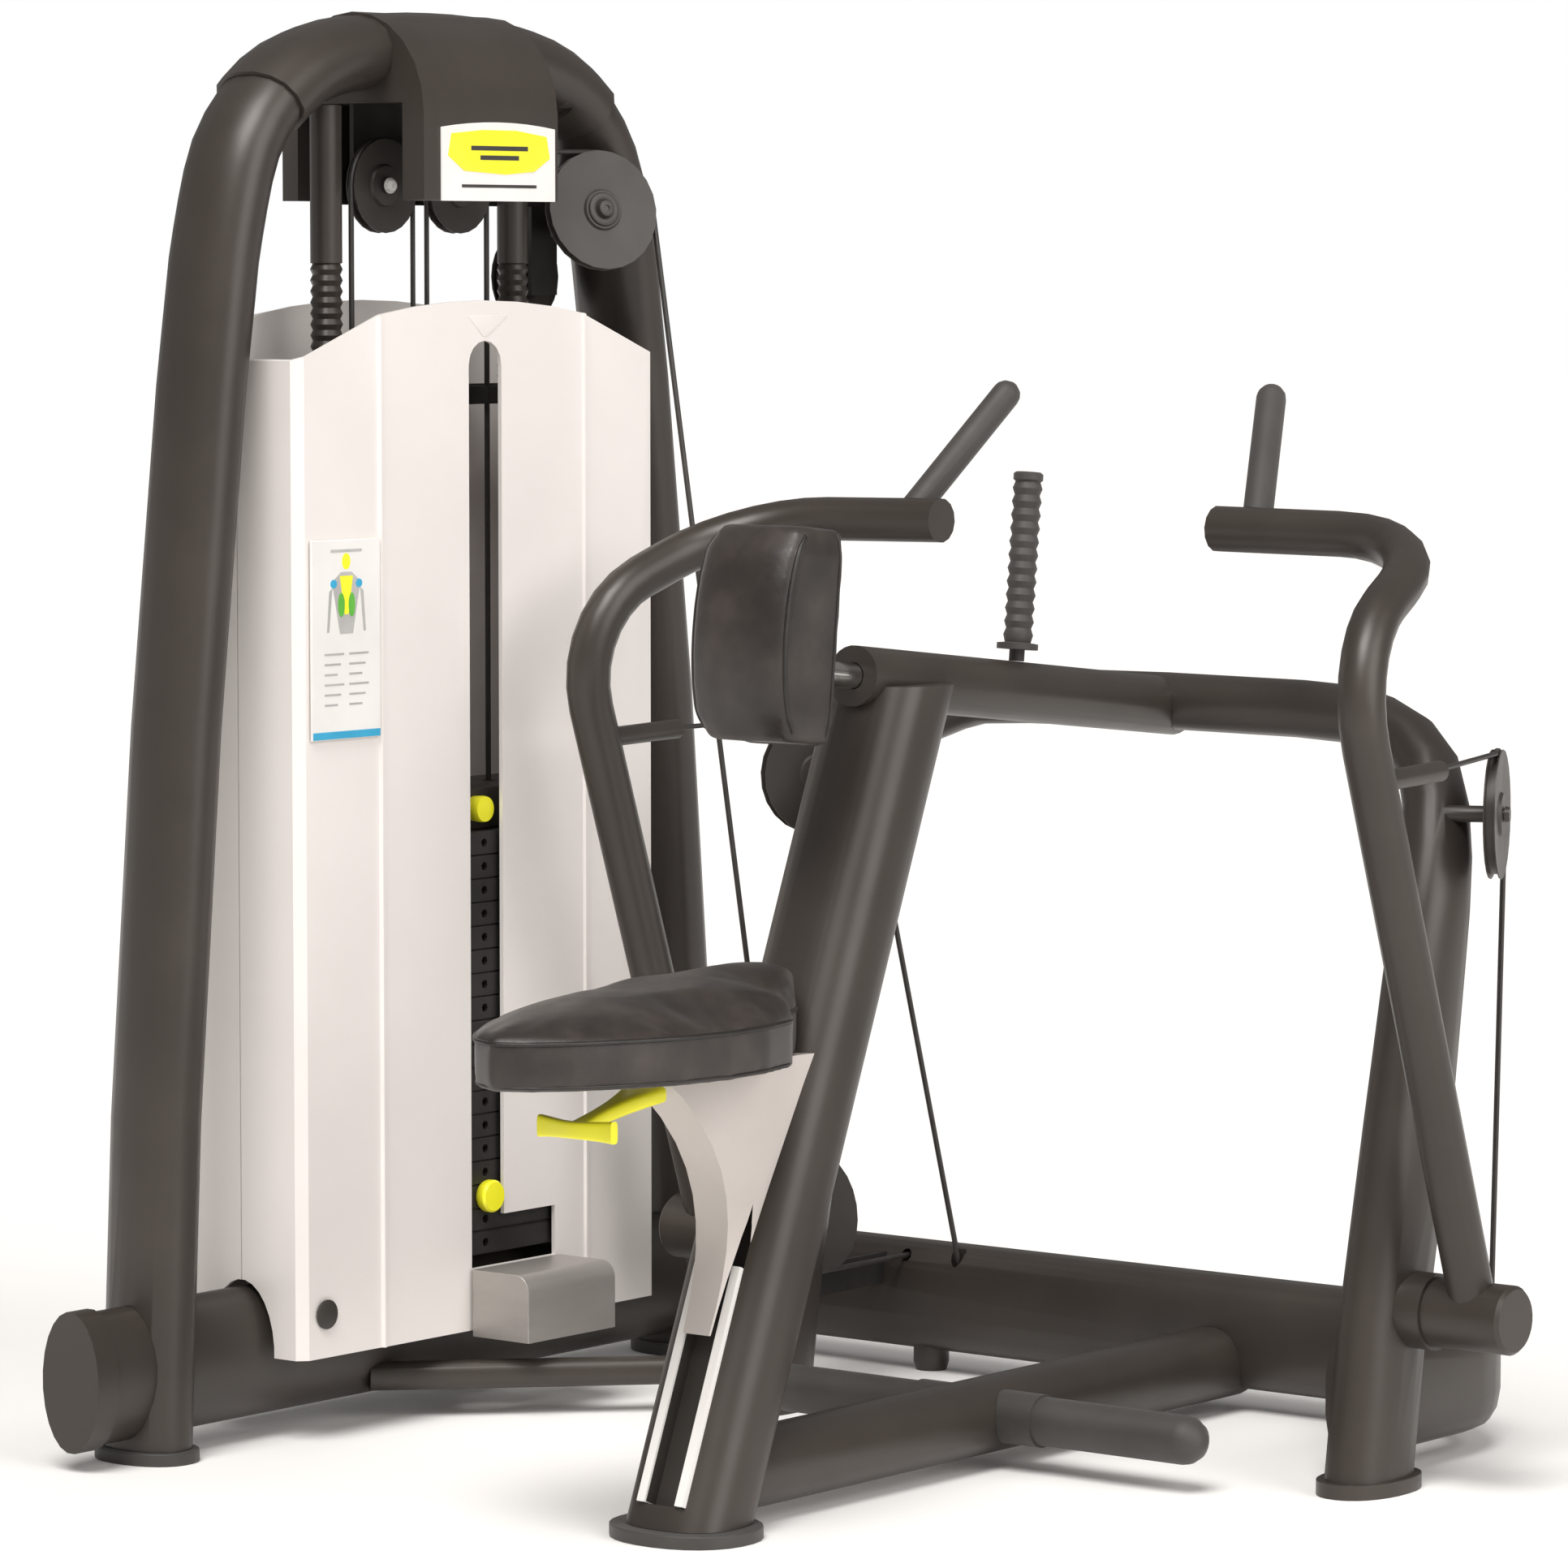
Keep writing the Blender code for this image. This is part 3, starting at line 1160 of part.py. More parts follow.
def lever(name, side):
    """One pulling lever: turning hub, bent arm, top bar and the rod that holds the cable."""
    pivot = Vector((side * LEVER_X, HUB_Y, HUB_Z))
    arm = to_object(name, lever_tube_mesh(side), frame_paint(), pivot)
    inner, outer = 0.4456, 0.536
    hub = turned([(0, 0), (0, 0.0350), (outer - inner - 0.004, 0.0350), (outer - inner, 0.0315),
                  (outer - inner, 0)], (side * inner, HUB_Y, HUB_Z), (side, 0, 0), 28)
    join(arm, to_object("hub", hub, None))
    tip = Vector((side * ANCHOR_TIP.x, ANCHOR_TIP.y, ANCHOR_TIP.z))
    anchor = rod((side * 0.488, 0.452, 0.7260), tip, 0.0105, 16)
    join(arm, to_object("anchor", anchor, None))
    bore = rod((side * 0.40, HUB_Y, HUB_Z), (side * 0.501, HUB_Y, HUB_Z), 0.0150 + PIVOT_GAP, 20)
    return cut(arm, cutter(bore))


def lever_grip(name, side):
    """Round-ended grip that stands up, forward and inward from the lever's top bar."""
    foot = Vector((side * 0.2225, 0.641, GRIP_HEIGHT))
    tip = Vector((side * 0.1690, 0.746, GRIP_HEIGHT + 0.130))
    grip = sweep([foot, tip], (0.0155, 0.0155), X, sides=16, rounded=(False, True))
    made = to_object(name, grip, rubber(), (side * LEVER_X, HUB_Y, HUB_Z))
    return cut(made, cutter(lever_tube_mesh(side, GAP)))


def lever_pulley_parts(side):
    """Centre and axis of one lever pulley."""
    axis = turn_about_z(LEVER_PULLEY_TURN)
    axis.x *= side
    return Vector((side * LEVER_PULLEY.x, LEVER_PULLEY.y, LEVER_PULLEY.z)), axis


def lever_cables(suffix, side):
    """Run from the lever's anchor to its pulley, and on over the pulley into the cross-beam."""
    centre, axis = lever_pulley_parts(side)
    ahead = Vector((-axis.y * side, axis.x * side, 0))
    run = cable_run(BIG_PULLEY)
    arc = []
    for step in range(11):
        angle = math.radians(90 - 9.9 * step)
        arc.append(centre + ahead * (run * math.cos(angle)) + Z * (run * math.sin(angle)))
    tip = Vector((side * ANCHOR_TIP.x, ANCHOR_TIP.y, ANCHOR_TIP.z))
    arc.insert(0, arc[0] - ahead * 0.026)
    pull = (arc[0] - tip).normalized()
    cable("pull_cable_" + suffix, [tip + pull * 0.0018, arc[0] - pull * 0.0012])
    entry = Vector((side * CABLE_ENTRY.x, CABLE_ENTRY.y, CABLE_ENTRY.z))
    cable("guide_cable_" + suffix, arc + [entry])


# Assembly --------------------------------------------------------------------------------

def build_tower():
    tower_arch()
    base_tube()
    for name, side in (("tower_foot_near", -1), ("tower_foot_far", 1)):
        foot_plate(name, TOWER_X, TOWER_Y + side * TOWER_SPREAD, 0.060, 0.0430)
    crown_cover()
    badge_plate()
    front_shroud()
    rear_shroud()
    placard()
    shroud_plug()
    step_block()
    guide_rod("guide_rod_near", -1)
    guide_rod("guide_rod_far", 1)
    stop_bar()
    for index in range(RESTING_PLATES):
        weight_plate(f"resting_plate_{index + 1}", index)
    lifted_plates()
    carriage()
    carriage_knob()
    selector_rod()
    selector_pin()


def build_cables():
    pulley_bracket()
    pulley("top_pulley_near", PULLEY_A, X, SMALL_PULLEY)
    pulley("top_pulley_far", PULLEY_B, X, SMALL_PULLEY)
    pulley("corner_pulley", CORNER_PULLEY, CORNER_AXIS, BIG_PULLEY)
    pulley("rear_pulley", REAR_PULLEY, X, SMALL_PULLEY)
    pulley("lower_pulley", LOWER_PULLEY, LOWER_AXIS, BIG_PULLEY)
    lower_pulley_bracket()
    for suffix, side in (("left", -1), ("right", 1)):
        centre, axis = lever_pulley_parts(side)
        pulley("lever_pulley_" + suffix, centre, axis, BIG_PULLEY)
        lever_cables(suffix, side)
    lift_cables()
    tail_cables()
    tower_cable()


def build_user_side():
    foot_plate("post_foot", 0, 0, 0.0770, 0.0660)
    seat_post()
    seat_rails()
    seat_bracket()
    seat_cushion()
    seat_lever()
    pad_tube()
    pad_rod()
    chest_pad()
    fixed_grip()
    front_arch()
    cross_beam()
    floor_tube()
    foot_peg("foot_peg_left", -1)
    foot_peg("foot_peg_right", 1)
    brace_bar()
    for suffix, side in (("left", -1), ("right", 1)):
        lever("lever_" + suffix, side)
        lever_grip("lever_grip_" + suffix, side)


def centre_on_origin():
    """Move every object so that the middle of the bounding box is over the origin."""
    bpy.context.view_layer.update()
    corners = [item.matrix_world @ vertex.co
               for item in bpy.data.objects for vertex in item.data.vertices]
    middle = [(min(c[axis] for c in corners) + max(c[axis] for c in corners)) / 2
              for axis in (0, 1)]
    for item in bpy.data.objects:
        item.location.x -= middle[0]
        item.location.y -= middle[1]


def main():
    for item in list(bpy.data.objects):
        bpy.data.objects.remove(item)
    build_tower()
    build_cables()
    build_user_side()
    centre_on_origin()


main()
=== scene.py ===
"""Seated row machine: finishes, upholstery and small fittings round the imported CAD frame."""
import json
import math

import bmesh
import bpy
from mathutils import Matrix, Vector


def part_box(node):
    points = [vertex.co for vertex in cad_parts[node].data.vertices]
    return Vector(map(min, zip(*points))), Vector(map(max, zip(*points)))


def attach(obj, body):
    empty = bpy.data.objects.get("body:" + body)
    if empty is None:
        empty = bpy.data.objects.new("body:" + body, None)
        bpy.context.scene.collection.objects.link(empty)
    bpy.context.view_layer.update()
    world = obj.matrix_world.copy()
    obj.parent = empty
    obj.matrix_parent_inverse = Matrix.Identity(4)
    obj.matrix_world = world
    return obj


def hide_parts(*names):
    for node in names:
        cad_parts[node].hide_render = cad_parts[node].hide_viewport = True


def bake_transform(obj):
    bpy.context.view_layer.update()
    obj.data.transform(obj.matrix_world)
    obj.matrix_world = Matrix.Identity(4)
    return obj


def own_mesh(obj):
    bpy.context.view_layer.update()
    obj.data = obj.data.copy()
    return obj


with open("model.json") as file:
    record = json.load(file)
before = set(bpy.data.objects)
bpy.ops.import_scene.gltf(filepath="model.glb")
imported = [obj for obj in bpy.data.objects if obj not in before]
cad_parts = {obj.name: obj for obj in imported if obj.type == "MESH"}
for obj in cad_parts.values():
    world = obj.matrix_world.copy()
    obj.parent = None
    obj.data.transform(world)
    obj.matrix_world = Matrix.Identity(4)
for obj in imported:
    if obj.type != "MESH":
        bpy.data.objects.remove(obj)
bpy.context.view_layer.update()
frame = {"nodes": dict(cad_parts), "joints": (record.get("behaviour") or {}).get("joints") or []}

X, Y, Z = Vector((1, 0, 0)), Vector((0, 1, 0)), Vector((0, 0, 1))
HAZE_SCALE = 3.1          # the gloss varies this many times finer than the tone
GRAIN_HEIGHT = 0.0006
POST_LEAN = 0.4035        # forward run of the seat post for each unit of height


# Materials ---------------------------------------------------------------------------

def noise(nodes, links, place, scale, detail=3.0):
    """Noise texture on the object's own coordinates."""
    made = nodes.new("ShaderNodeTexNoise")
    made.inputs["Scale"].default_value = scale
    made.inputs["Detail"].default_value = detail
    links.new(place, made.inputs["Vector"])
    return made.outputs["Fac"]


def ramp(nodes, links, value, tones, low=0.35, high=0.68):
    """Spread a value between low and high over a row of tones."""
    made = nodes.new("ShaderNodeValToRGB")
    stops = made.color_ramp.elements
    while len(stops) < len(tones):
        stops.new(0.5)
    for index, tone in enumerate(tones):
        stops[index].position = low + (high - low) * index / (len(tones) - 1)
        stops[index].color = (*tone, 1.0)
    links.new(value, made.inputs["Fac"])
    return made.outputs["Color"]


def spread(nodes, links, value, low, high):
    """Map a value from 0..1 to low..high."""
    made = nodes.new("ShaderNodeMapRange")
    made.inputs["To Min"].default_value = low
    made.inputs["To Max"].default_value = high
    links.new(value, made.inputs["Value"])
    return made.outputs["Result"]


def surface(name, tones, blotch, gloss, grain, depth, metallic=0.0, cells=0.0, sheen=0.0,
            stretch=(1, 1, 1)):
    """Finish with drifting tone, uneven gloss and a fine raised grain.

    tones are the colours that the blotches drift between, gloss the lowest and highest
    roughness, grain the scale of the raised noise and cells that of a leather's pebbles.
    """
    made = bpy.data.materials.new(name)
    made.use_nodes = True
    nodes, links = made.node_tree.nodes, made.node_tree.links
    shader = nodes["Principled BSDF"]
    shader.inputs["Metallic"].default_value = metallic
    shader.inputs["Sheen Weight"].default_value = sheen
    place = nodes.new("ShaderNodeTexCoord").outputs["Object"]
    if stretch != (1, 1, 1):
        scaled = nodes.new("ShaderNodeMapping")
        scaled.inputs["Scale"].default_value = stretch
        links.new(place, scaled.inputs["Vector"])
        place = scaled.outputs["Vector"]
    cloud = noise(nodes, links, place, blotch, 5.0)
    links.new(ramp(nodes, links, cloud, tones), shader.inputs["Base Color"])
    haze = noise(nodes, links, place, blotch * HAZE_SCALE, 4.0)
    links.new(spread(nodes, links, haze, *gloss), shader.inputs["Roughness"])
    if cells:
        pebble = nodes.new("ShaderNodeTexVoronoi")
        pebble.feature = "DISTANCE_TO_EDGE"
        pebble.inputs["Scale"].default_value = cells
        links.new(place, pebble.inputs["Vector"])
        height = pebble.outputs["Distance"]
    else:
        height = noise(nodes, links, place, grain, 2.0)
    bump = nodes.new("ShaderNodeBump")
    bump.inputs["Strength"].default_value = depth
    bump.inputs["Distance"].default_value = GRAIN_HEIGHT
    links.new(height, bump.inputs["Height"])
    links.new(bump.outputs["Normal"], shader.inputs["Normal"])
    return made


PAINT = surface("satin_paint", [(0.040, 0.0325, 0.0275), (0.051, 0.042, 0.036)], 6, (0.32, 0.44),
                1400, 0.10, metallic=0.15)
SHEET = surface("powder_coated_sheet", [(0.80, 0.755, 0.725), (0.85, 0.805, 0.775)], 4,
                (0.36, 0.50), 1100, 0.12, metallic=0.10)
BRUSHED = surface("brushed_step", [(0.36, 0.335, 0.315), (0.42, 0.392, 0.370)], 5, (0.30, 0.42),
                  420, 0.20, metallic=0.50, stretch=(1, 1, 5))
SHELL = surface("satin_shell", [(0.52, 0.475, 0.445), (0.59, 0.54, 0.51)], 7, (0.34, 0.46),
                900, 0.12, metallic=0.15)
PLASTIC = surface("moulded_plastic", [(0.034, 0.0285, 0.0245), (0.045, 0.038, 0.033)], 9,
                  (0.38, 0.52), 1700, 0.14)
IRON = surface("cast_iron", [(0.020, 0.018, 0.017), (0.036, 0.033, 0.031)], 12, (0.42, 0.62),
               900, 0.35, metallic=0.30)
RUBBER = surface("rubber", [(0.036, 0.032, 0.029), (0.050, 0.045, 0.041)], 14, (0.48, 0.64),
                 1500, 0.30, sheen=0.10)
LEATHER = surface("leather", [(0.018, 0.0135, 0.0115), (0.028, 0.0215, 0.0185),
                              (0.045, 0.0355, 0.031)],
                  17, (0.30, 0.46), 300, 0.25, cells=620, sheen=0.05)
PIPING = surface("leather_piping", [(0.010, 0.008, 0.007), (0.020, 0.016, 0.014)], 40,
                 (0.34, 0.48), 700, 0.30, cells=900)
YELLOW = surface("yellow_plastic", [(0.93, 0.88, 0.020), (0.98, 0.93, 0.035)], 18, (0.28, 0.40),
                 1500, 0.10)
WHITE = surface("white_plastic", [(0.80, 0.775, 0.75), (0.87, 0.85, 0.83)], 10, (0.30, 0.42),
                1300, 0.08)
STEEL = surface("bright_steel", [(0.62, 0.60, 0.58), (0.74, 0.72, 0.70)], 30, (0.14, 0.26),
                900, 0.08, metallic=1.0)
CABLE = surface("coated_cable", [(0.024, 0.021, 0.019), (0.034, 0.031, 0.028)], 60, (0.34, 0.50),
                800, 0.20)
INK = surface("printed_ink", [(0.030, 0.028, 0.026), (0.045, 0.042, 0.040)], 20, (0.40, 0.50),
              900, 0.05)
GREEN = surface("print_green", [(0.10, 0.42, 0.045), (0.14, 0.52, 0.06)], 30, (0.35, 0.45),
                900, 0.05)
BLUE = surface("print_blue", [(0.03, 0.36, 0.60), (0.05, 0.44, 0.70)], 30, (0.35, 0.45), 900, 0.05)
GREY = surface("print_grey", [(0.42, 0.41, 0.40), (0.50, 0.49, 0.48)], 30, (0.35, 0.45), 900, 0.05)

FINISHES = {"frame_paint": PAINT, "shroud_sheet": SHEET, "black_plastic": PLASTIC,
            "black_iron": IRON, "leather": LEATHER, "yellow_plastic": YELLOW,
            "white_plastic": WHITE, "steel": STEEL, "rubber": RUBBER, "cable_black": CABLE}


def smoothing_tree(angle=35.0):
    """Modifier tree that joins loose corners and shades shallow edges smooth."""
    tree = bpy.data.node_groups.new("smooth_faces", "GeometryNodeTree")
    for direction in ("INPUT", "OUTPUT"):
        tree.interface.new_socket("Geometry", in_out=direction,
                                  socket_type="NodeSocketGeometry")
    nodes, links = tree.nodes, tree.links
    weld = nodes.new("GeometryNodeMergeByDistance")
    weld.inputs["Distance"].default_value = 0.00002
    bare = nodes.new("GeometryNodeRemoveAttribute")
    bare.inputs["Name"].default_value = "custom_normal"
    faces = nodes.new("GeometryNodeSetShadeSmooth")
    faces.domain = "FACE"
    edges = nodes.new("GeometryNodeSetShadeSmooth")
    edges.domain = "EDGE"
    edges.inputs["Shade Smooth"].default_value = False
    sharp = nodes.new("FunctionNodeCompare")
    sharp.operation = "GREATER_THAN"
    sharp.inputs[1].default_value = math.radians(angle)
    steep = nodes.new("GeometryNodeInputMeshEdgeAngle")
    links.new(steep.outputs["Unsigned Angle"], sharp.inputs[0])
    links.new(sharp.outputs["Result"], edges.inputs["Selection"])
    chain = [nodes.new("NodeGroupInput"), weld, bare, faces, edges, nodes.new("NodeGroupOutput")]
    for first, second in zip(chain, chain[1:]):
        links.new(first.outputs["Geometry"], second.inputs["Geometry"])
    return tree


SOFT_EDGES = {"step_block": 0.0015, "badge_plate": 0.0006, "placard": 0.0006,
              "tower_foot_near": 0.0012, "tower_foot_far": 0.0012, "post_foot": 0.0012}


def finish_cad_nodes():
    """Give each CAD node its finish, smooth shading and, where clean, softened edges."""
    tree = smoothing_tree()
    for name, node in frame["nodes"].items():
        slots = node.data.materials
        for index, old in enumerate(slots):
            slots[index] = FINISHES[old.name.split(".")[0]]
        node.modifiers.new("smooth faces", "NODES").node_group = tree
        if name in SOFT_EDGES:
            soft = node.modifiers.new("soft edges", "BEVEL")
            soft.width, soft.segments, soft.limit_method = SOFT_EDGES[name], 2, "ANGLE"
            soft.angle_limit = math.radians(40)
    frame["nodes"]["step_block"].data.materials[0] = BRUSHED
    frame["nodes"]["seat_bracket"].data.materials[0] = SHELL


# Making pieces -----------------------------------------------------------------------

def keep(name, mesh_data, look, body, smooth=40.0):
    """Turn a bmesh into a piece that rides on a body, if named, and takes a slot's finish."""
    bmesh.ops.recalc_face_normals(mesh_data, faces=mesh_data.faces)
    mesh = bpy.data.meshes.new(name)
    mesh_data.to_mesh(mesh)
    mesh_data.free()
    mesh.shade_smooth()
    mesh.set_sharp_from_angle(angle=math.radians(smooth))
    mesh.materials.append(look)
    made = bpy.data.objects.new(name, mesh)
    bpy.context.scene.collection.objects.link(made)
    if body:
        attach(made, body)
    return made


def lathe(name, profile, origin, axis, look, body, sides=32):
    """Turn a profile of (distance along the axis, radius) round an axis."""
    axis = Vector(axis).normalized()
    across = axis.orthogonal().normalized()
    other = axis.cross(across)
    made = bmesh.new()
    rings = []
    for along, radius in profile:
        centre = Vector(origin) + axis * along
        if radius <= 0:
            rings.append([made.verts.new(centre)])
            continue
        turns = [2 * math.pi * step / sides for step in range(sides)]
        rings.append([made.verts.new(centre + (across * math.cos(turn) + other * math.sin(turn))
                                     * radius) for turn in turns])
    for low, high in zip(rings, rings[1:]):
        for step in range(sides):
            following = (step + 1) % sides
            corners = [low[step % len(low)], low[following % len(low)],
                       high[following % len(high)], high[step % len(high)]]
            made.faces.new(list(dict.fromkeys(corners)))
    return keep(name, made, look, body)


def tube(name, points, radius, look, body, closed=False, sides=12):
    """Round bead along a row of points."""
    count = len(points)
    made = bmesh.new()
    rings, wide = [], None
    for index, point in enumerate(points):
        if closed:
            ahead = points[(index + 1) % count] - points[index - 1]
        else:
            ahead = points[min(index + 1, count - 1)] - points[max(index - 1, 0)]
        ahead.normalize()
        wide = ahead.orthogonal() if wide is None else wide
        wide = (wide - ahead * wide.dot(ahead)).normalized()
        other = ahead.cross(wide)
        ring = []
        for step in range(sides):
            turn = 2 * math.pi * step / sides
            place = point + (wide * math.cos(turn) + other * math.sin(turn)) * radius
            ring.append(made.verts.new(place))
        rings.append(ring)
    pairs = list(zip(rings, rings[1:])) + ([(rings[-1], rings[0])] if closed else [])
    for low, high in pairs:
        shift = 0
        if closed and low is rings[-1]:
            shift = min(range(sides), key=lambda s: (high[s].co - low[0].co).length)
        for step in range(sides):
            following = (step + 1) % sides
            made.faces.new((low[step], low[following], high[(following + shift) % sides],
                            high[(step + shift) % sides]))
    if not closed:
        made.faces.new(rings[0][::-1])
        made.faces.new(rings[-1])
    return keep(name, made, look, body)


def slab(name, outline, thickness, origin, across, up, look, body, edge=0.0):
    """Flat shape given in (across, up) distances from origin, raised along their normal."""
    across, up = Vector(across).normalized(), Vector(up).normalized()
    normal = across.cross(up)
    made = bmesh.new()
    base = [Vector(origin) + across * u + up * v for u, v in outline]
    low = [made.verts.new(point) for point in base]
    high = [made.verts.new(point + normal * thickness) for point in base]
    made.faces.new(low[::-1])
    made.faces.new(high)
    for step in range(len(base)):
        following = (step + 1) % len(base)
        made.faces.new((low[step], low[following], high[following], high[step]))
    if edge:
        rim = [e for e in made.edges if all(v in high for v in e.verts)]
        bmesh.ops.bevel(made, geom=rim, offset=edge, segments=3, affect="EDGES", profile=0.5)
    return keep(name, made, look, body, smooth=35.0)


def oval(wide, tall, middle=(0.0, 0.0), steps=28, power=2.0):
    """Outline of an oval, squarer as power rises."""
    points = []
    for step in range(steps):
        turn = 2 * math.pi * step / steps
        u, v = math.cos(turn), math.sin(turn)
        points.append((middle[0] + wide * math.copysign(abs(u) ** (2 / power), u),
                       middle[1] + tall * math.copysign(abs(v) ** (2 / power), v)))
    return points


def smooth_loop(points, steps=4):
    """Closed Catmull-Rom curve through the points."""
    count = len(points)
    made = []
    for index in range(count):
        a, b, c, d = (points[(index + shift) % count] for shift in (-1, 0, 1, 2))
        for step in range(steps):
            t = step / steps
            made.append(0.5 * ((2 * b) + (c - a) * t + (2 * a - 5 * b + 4 * c - d) * t * t
                               + (3 * b - a - 3 * c + d) * t ** 3))
    return made


def rectangle(left, low, right, high):
    """Outline of a rectangle."""
    return [(left, low), (right, low), (right, high), (left, high)]


def middle_of(node):
    """Middle of a CAD node's box."""
    low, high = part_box(node)
    return (low + high) / 2


def plate_face(node):
    """Middle, half width and half height of a plate's face on its +X side."""
    low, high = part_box(node)
    centre = Vector((high.x, (low.y + high.y) / 2, (low.z + high.z) / 2))
    return centre, (high.y - low.y) / 2, (high.z - low.z) / 2


# Upholstery --------------------------------------------------------------------------

COVER_MESH = 0.004                        # face size of a cover before it is subdivided
FILL_PRESSURE, FILL_FRAMES = 4.0, 20      # cloth pressure in a cover and how long it works
SEAM_HEIGHT, HEM_HEIGHT = 0.045, 0.004    # piping round the seat, above its lowest point
SEAM_BEAD, HEM_BEAD, BACK_BEAD = 0.0024, 0.0015, 0.0016      # radii of the pipings


def remeshed_copy(node, name):
    """Even mesh of small faces in the shape of a CAD node."""
    source = frame["nodes"][node]
    made = bpy.data.objects.new(name, source.data.copy())
    bpy.context.scene.collection.objects.link(made)
    evener = made.modifiers.new("even", "REMESH")
    evener.mode, evener.voxel_size = "VOXEL", COVER_MESH
    graph = bpy.context.evaluated_depsgraph_get()
    even = bpy.data.meshes.new_from_object(made.evaluated_get(graph))
    made.modifiers.remove(evener)
    made.data = even
    even.name = name
    even.materials.clear()
    even.materials.append(LEATHER)
    even.shade_smooth()
    return made


def relax(piece, free, rounds):
    """Even out the small steps of the new mesh where free(point) is true."""
    shape = bmesh.new()
    shape.from_mesh(piece.data)
    for _ in range(rounds):
        loose = [v for v in shape.verts if free(v.co)]
        bmesh.ops.smooth_vert(shape, verts=loose, factor=0.5, use_axis_x=True, use_axis_y=True,
                              use_axis_z=True)
    shape.to_mesh(piece.data)
    shape.free()


def inflate(piece, held, limit):
    """Fill the cover with cloth pressure; a point moves no further than limit."""
    group = piece.vertex_groups.new(name="held")
    group.add([v.index for v in piece.data.vertices if held(v.co)], 1.0, "REPLACE")
    cloth = piece.modifiers.new("fill", "CLOTH")
    cloth.settings.vertex_group_mass = "held"
    cloth.settings.use_pressure = True
    cloth.settings.uniform_pressure_force = FILL_PRESSURE
    cloth.settings.effector_weights.gravity = 0.0
    for step in range(1, FILL_FRAMES + 1):
        bpy.context.scene.frame_set(step)
    graph = bpy.context.evaluated_depsgraph_get()
    filled = [v.co.copy() for v in piece.evaluated_get(graph).data.vertices]
    piece.modifiers.remove(cloth)
    piece.vertex_groups.remove(group)
    bpy.context.scene.frame_set(1)
    for vertex, place in zip(piece.data.vertices, filled):
        change = place - vertex.co
        if change.length > limit:
            change *= limit / change.length
        vertex.co += change


def upholster(piece, node, body):
    """Finish a cushion: one subdivision, its body and the node it stands for."""
    finer = piece.modifiers.new("finer", "SUBSURF")
    finer.levels = finer.render_levels = 1
    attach(piece, body)
    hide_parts(node)


def section(piece, point, normal, count=120):
    """Evenly spaced points round a piece where a plane cuts its outside."""
    shape = bmesh.new()
    shape.from_mesh(piece.data)
    made = bmesh.ops.bisect_plane(shape, geom=shape.verts[:] + shape.edges[:] + shape.faces[:],
                                  plane_co=point, plane_no=normal)
    edges = [item for item in made["geom_cut"] if isinstance(item, bmesh.types.BMEdge)]
    waiting, best = set(edges), []
    while waiting:
        edge = min(waiting, key=lambda e: e.index)
        waiting.discard(edge)
        start, here = edge.verts
        loop = [start.co.copy()]
        while here is not start:
            loop.append(here.co.copy())
            ahead = [e for e in here.link_edges if e in waiting]
            if not ahead:
                break
            waiting.discard(ahead[0])
            here = ahead[0].other_vert(here)
        best = max(best, loop, key=len)
    shape.free()
    best = even(best, 3)
    return [best[len(best) * n // count] for n in range(count)]


def settle(points, piece):
    """Move each point to the nearest place on a piece."""
    return [piece.closest_point_on_mesh(point)[1] for point in points]


def even(points, rounds=2):
    """Smooth a closed row of points."""
    for _ in range(rounds):
        points = [(points[n - 1] + points[n] * 2 + points[(n + 1) % len(points)]) / 4
                  for n in range(len(points))]
    return points


def seat():
    """Saddle cover, filled, with a piped seam over the skirt."""
    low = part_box("seat_cushion")[0]
    seam, hem = low.z + SEAM_HEIGHT, low.z + HEM_HEIGHT
    cover = remeshed_copy("seat_cushion", "seat_cover")
    relax(cover, lambda p: low.z + 0.003 < p.z < seam - 0.002, 14)
    relax(cover, lambda p: p.z > seam + 0.004, 8)
    inflate(cover, lambda p: p.z < seam + 0.002, 0.010)
    relax(cover, lambda p: p.z > seam + 0.003, 4)
    piping = section(cover, Vector((0, 0, seam)), Z)
    welt = section(cover, Vector((0, 0, hem)), Z)
    upholster(cover, "seat_cushion", "seat")
    tube("seat_piping", even(piping), SEAM_BEAD, PIPING, "seat", closed=True)
    tube("seat_welt", even(welt), HEM_BEAD, PIPING, "seat", closed=True)


PAD_AXIS = Vector((0, 1, -0.106)).normalized()   # the pad rod's direction
PAD_UP = X.cross(PAD_AXIS)
PAD_HALF_WIDTH, PAD_HALF_HEIGHT = 0.058, 0.105
PAD_ROOT = Vector((0, -0.0079, 0.0020))          # from the pad's box to the middle of its frame
PAD_FACE, PAD_BULGE = -0.0050, 0.037             # face's edge along the axis, and its rise
PAD_BACK_SEAM = 0.044                            # back piping along the axis
FACE_SEAM = 0.010                                # face piping and held cloth behind the face


def pad_point(across, along, up):
    """Point in the chest pad's leaning frame."""
    return middle_of("chest_pad") + PAD_ROOT + X * across + PAD_AXIS * along + PAD_UP * up


def pad_front(up):
    """How far forward the pad's bulging face stands at a height."""
    share = up / PAD_HALF_HEIGHT
    return PAD_FACE - PAD_BULGE * math.sqrt(max(0.0, 1 - 0.96 * share * share))


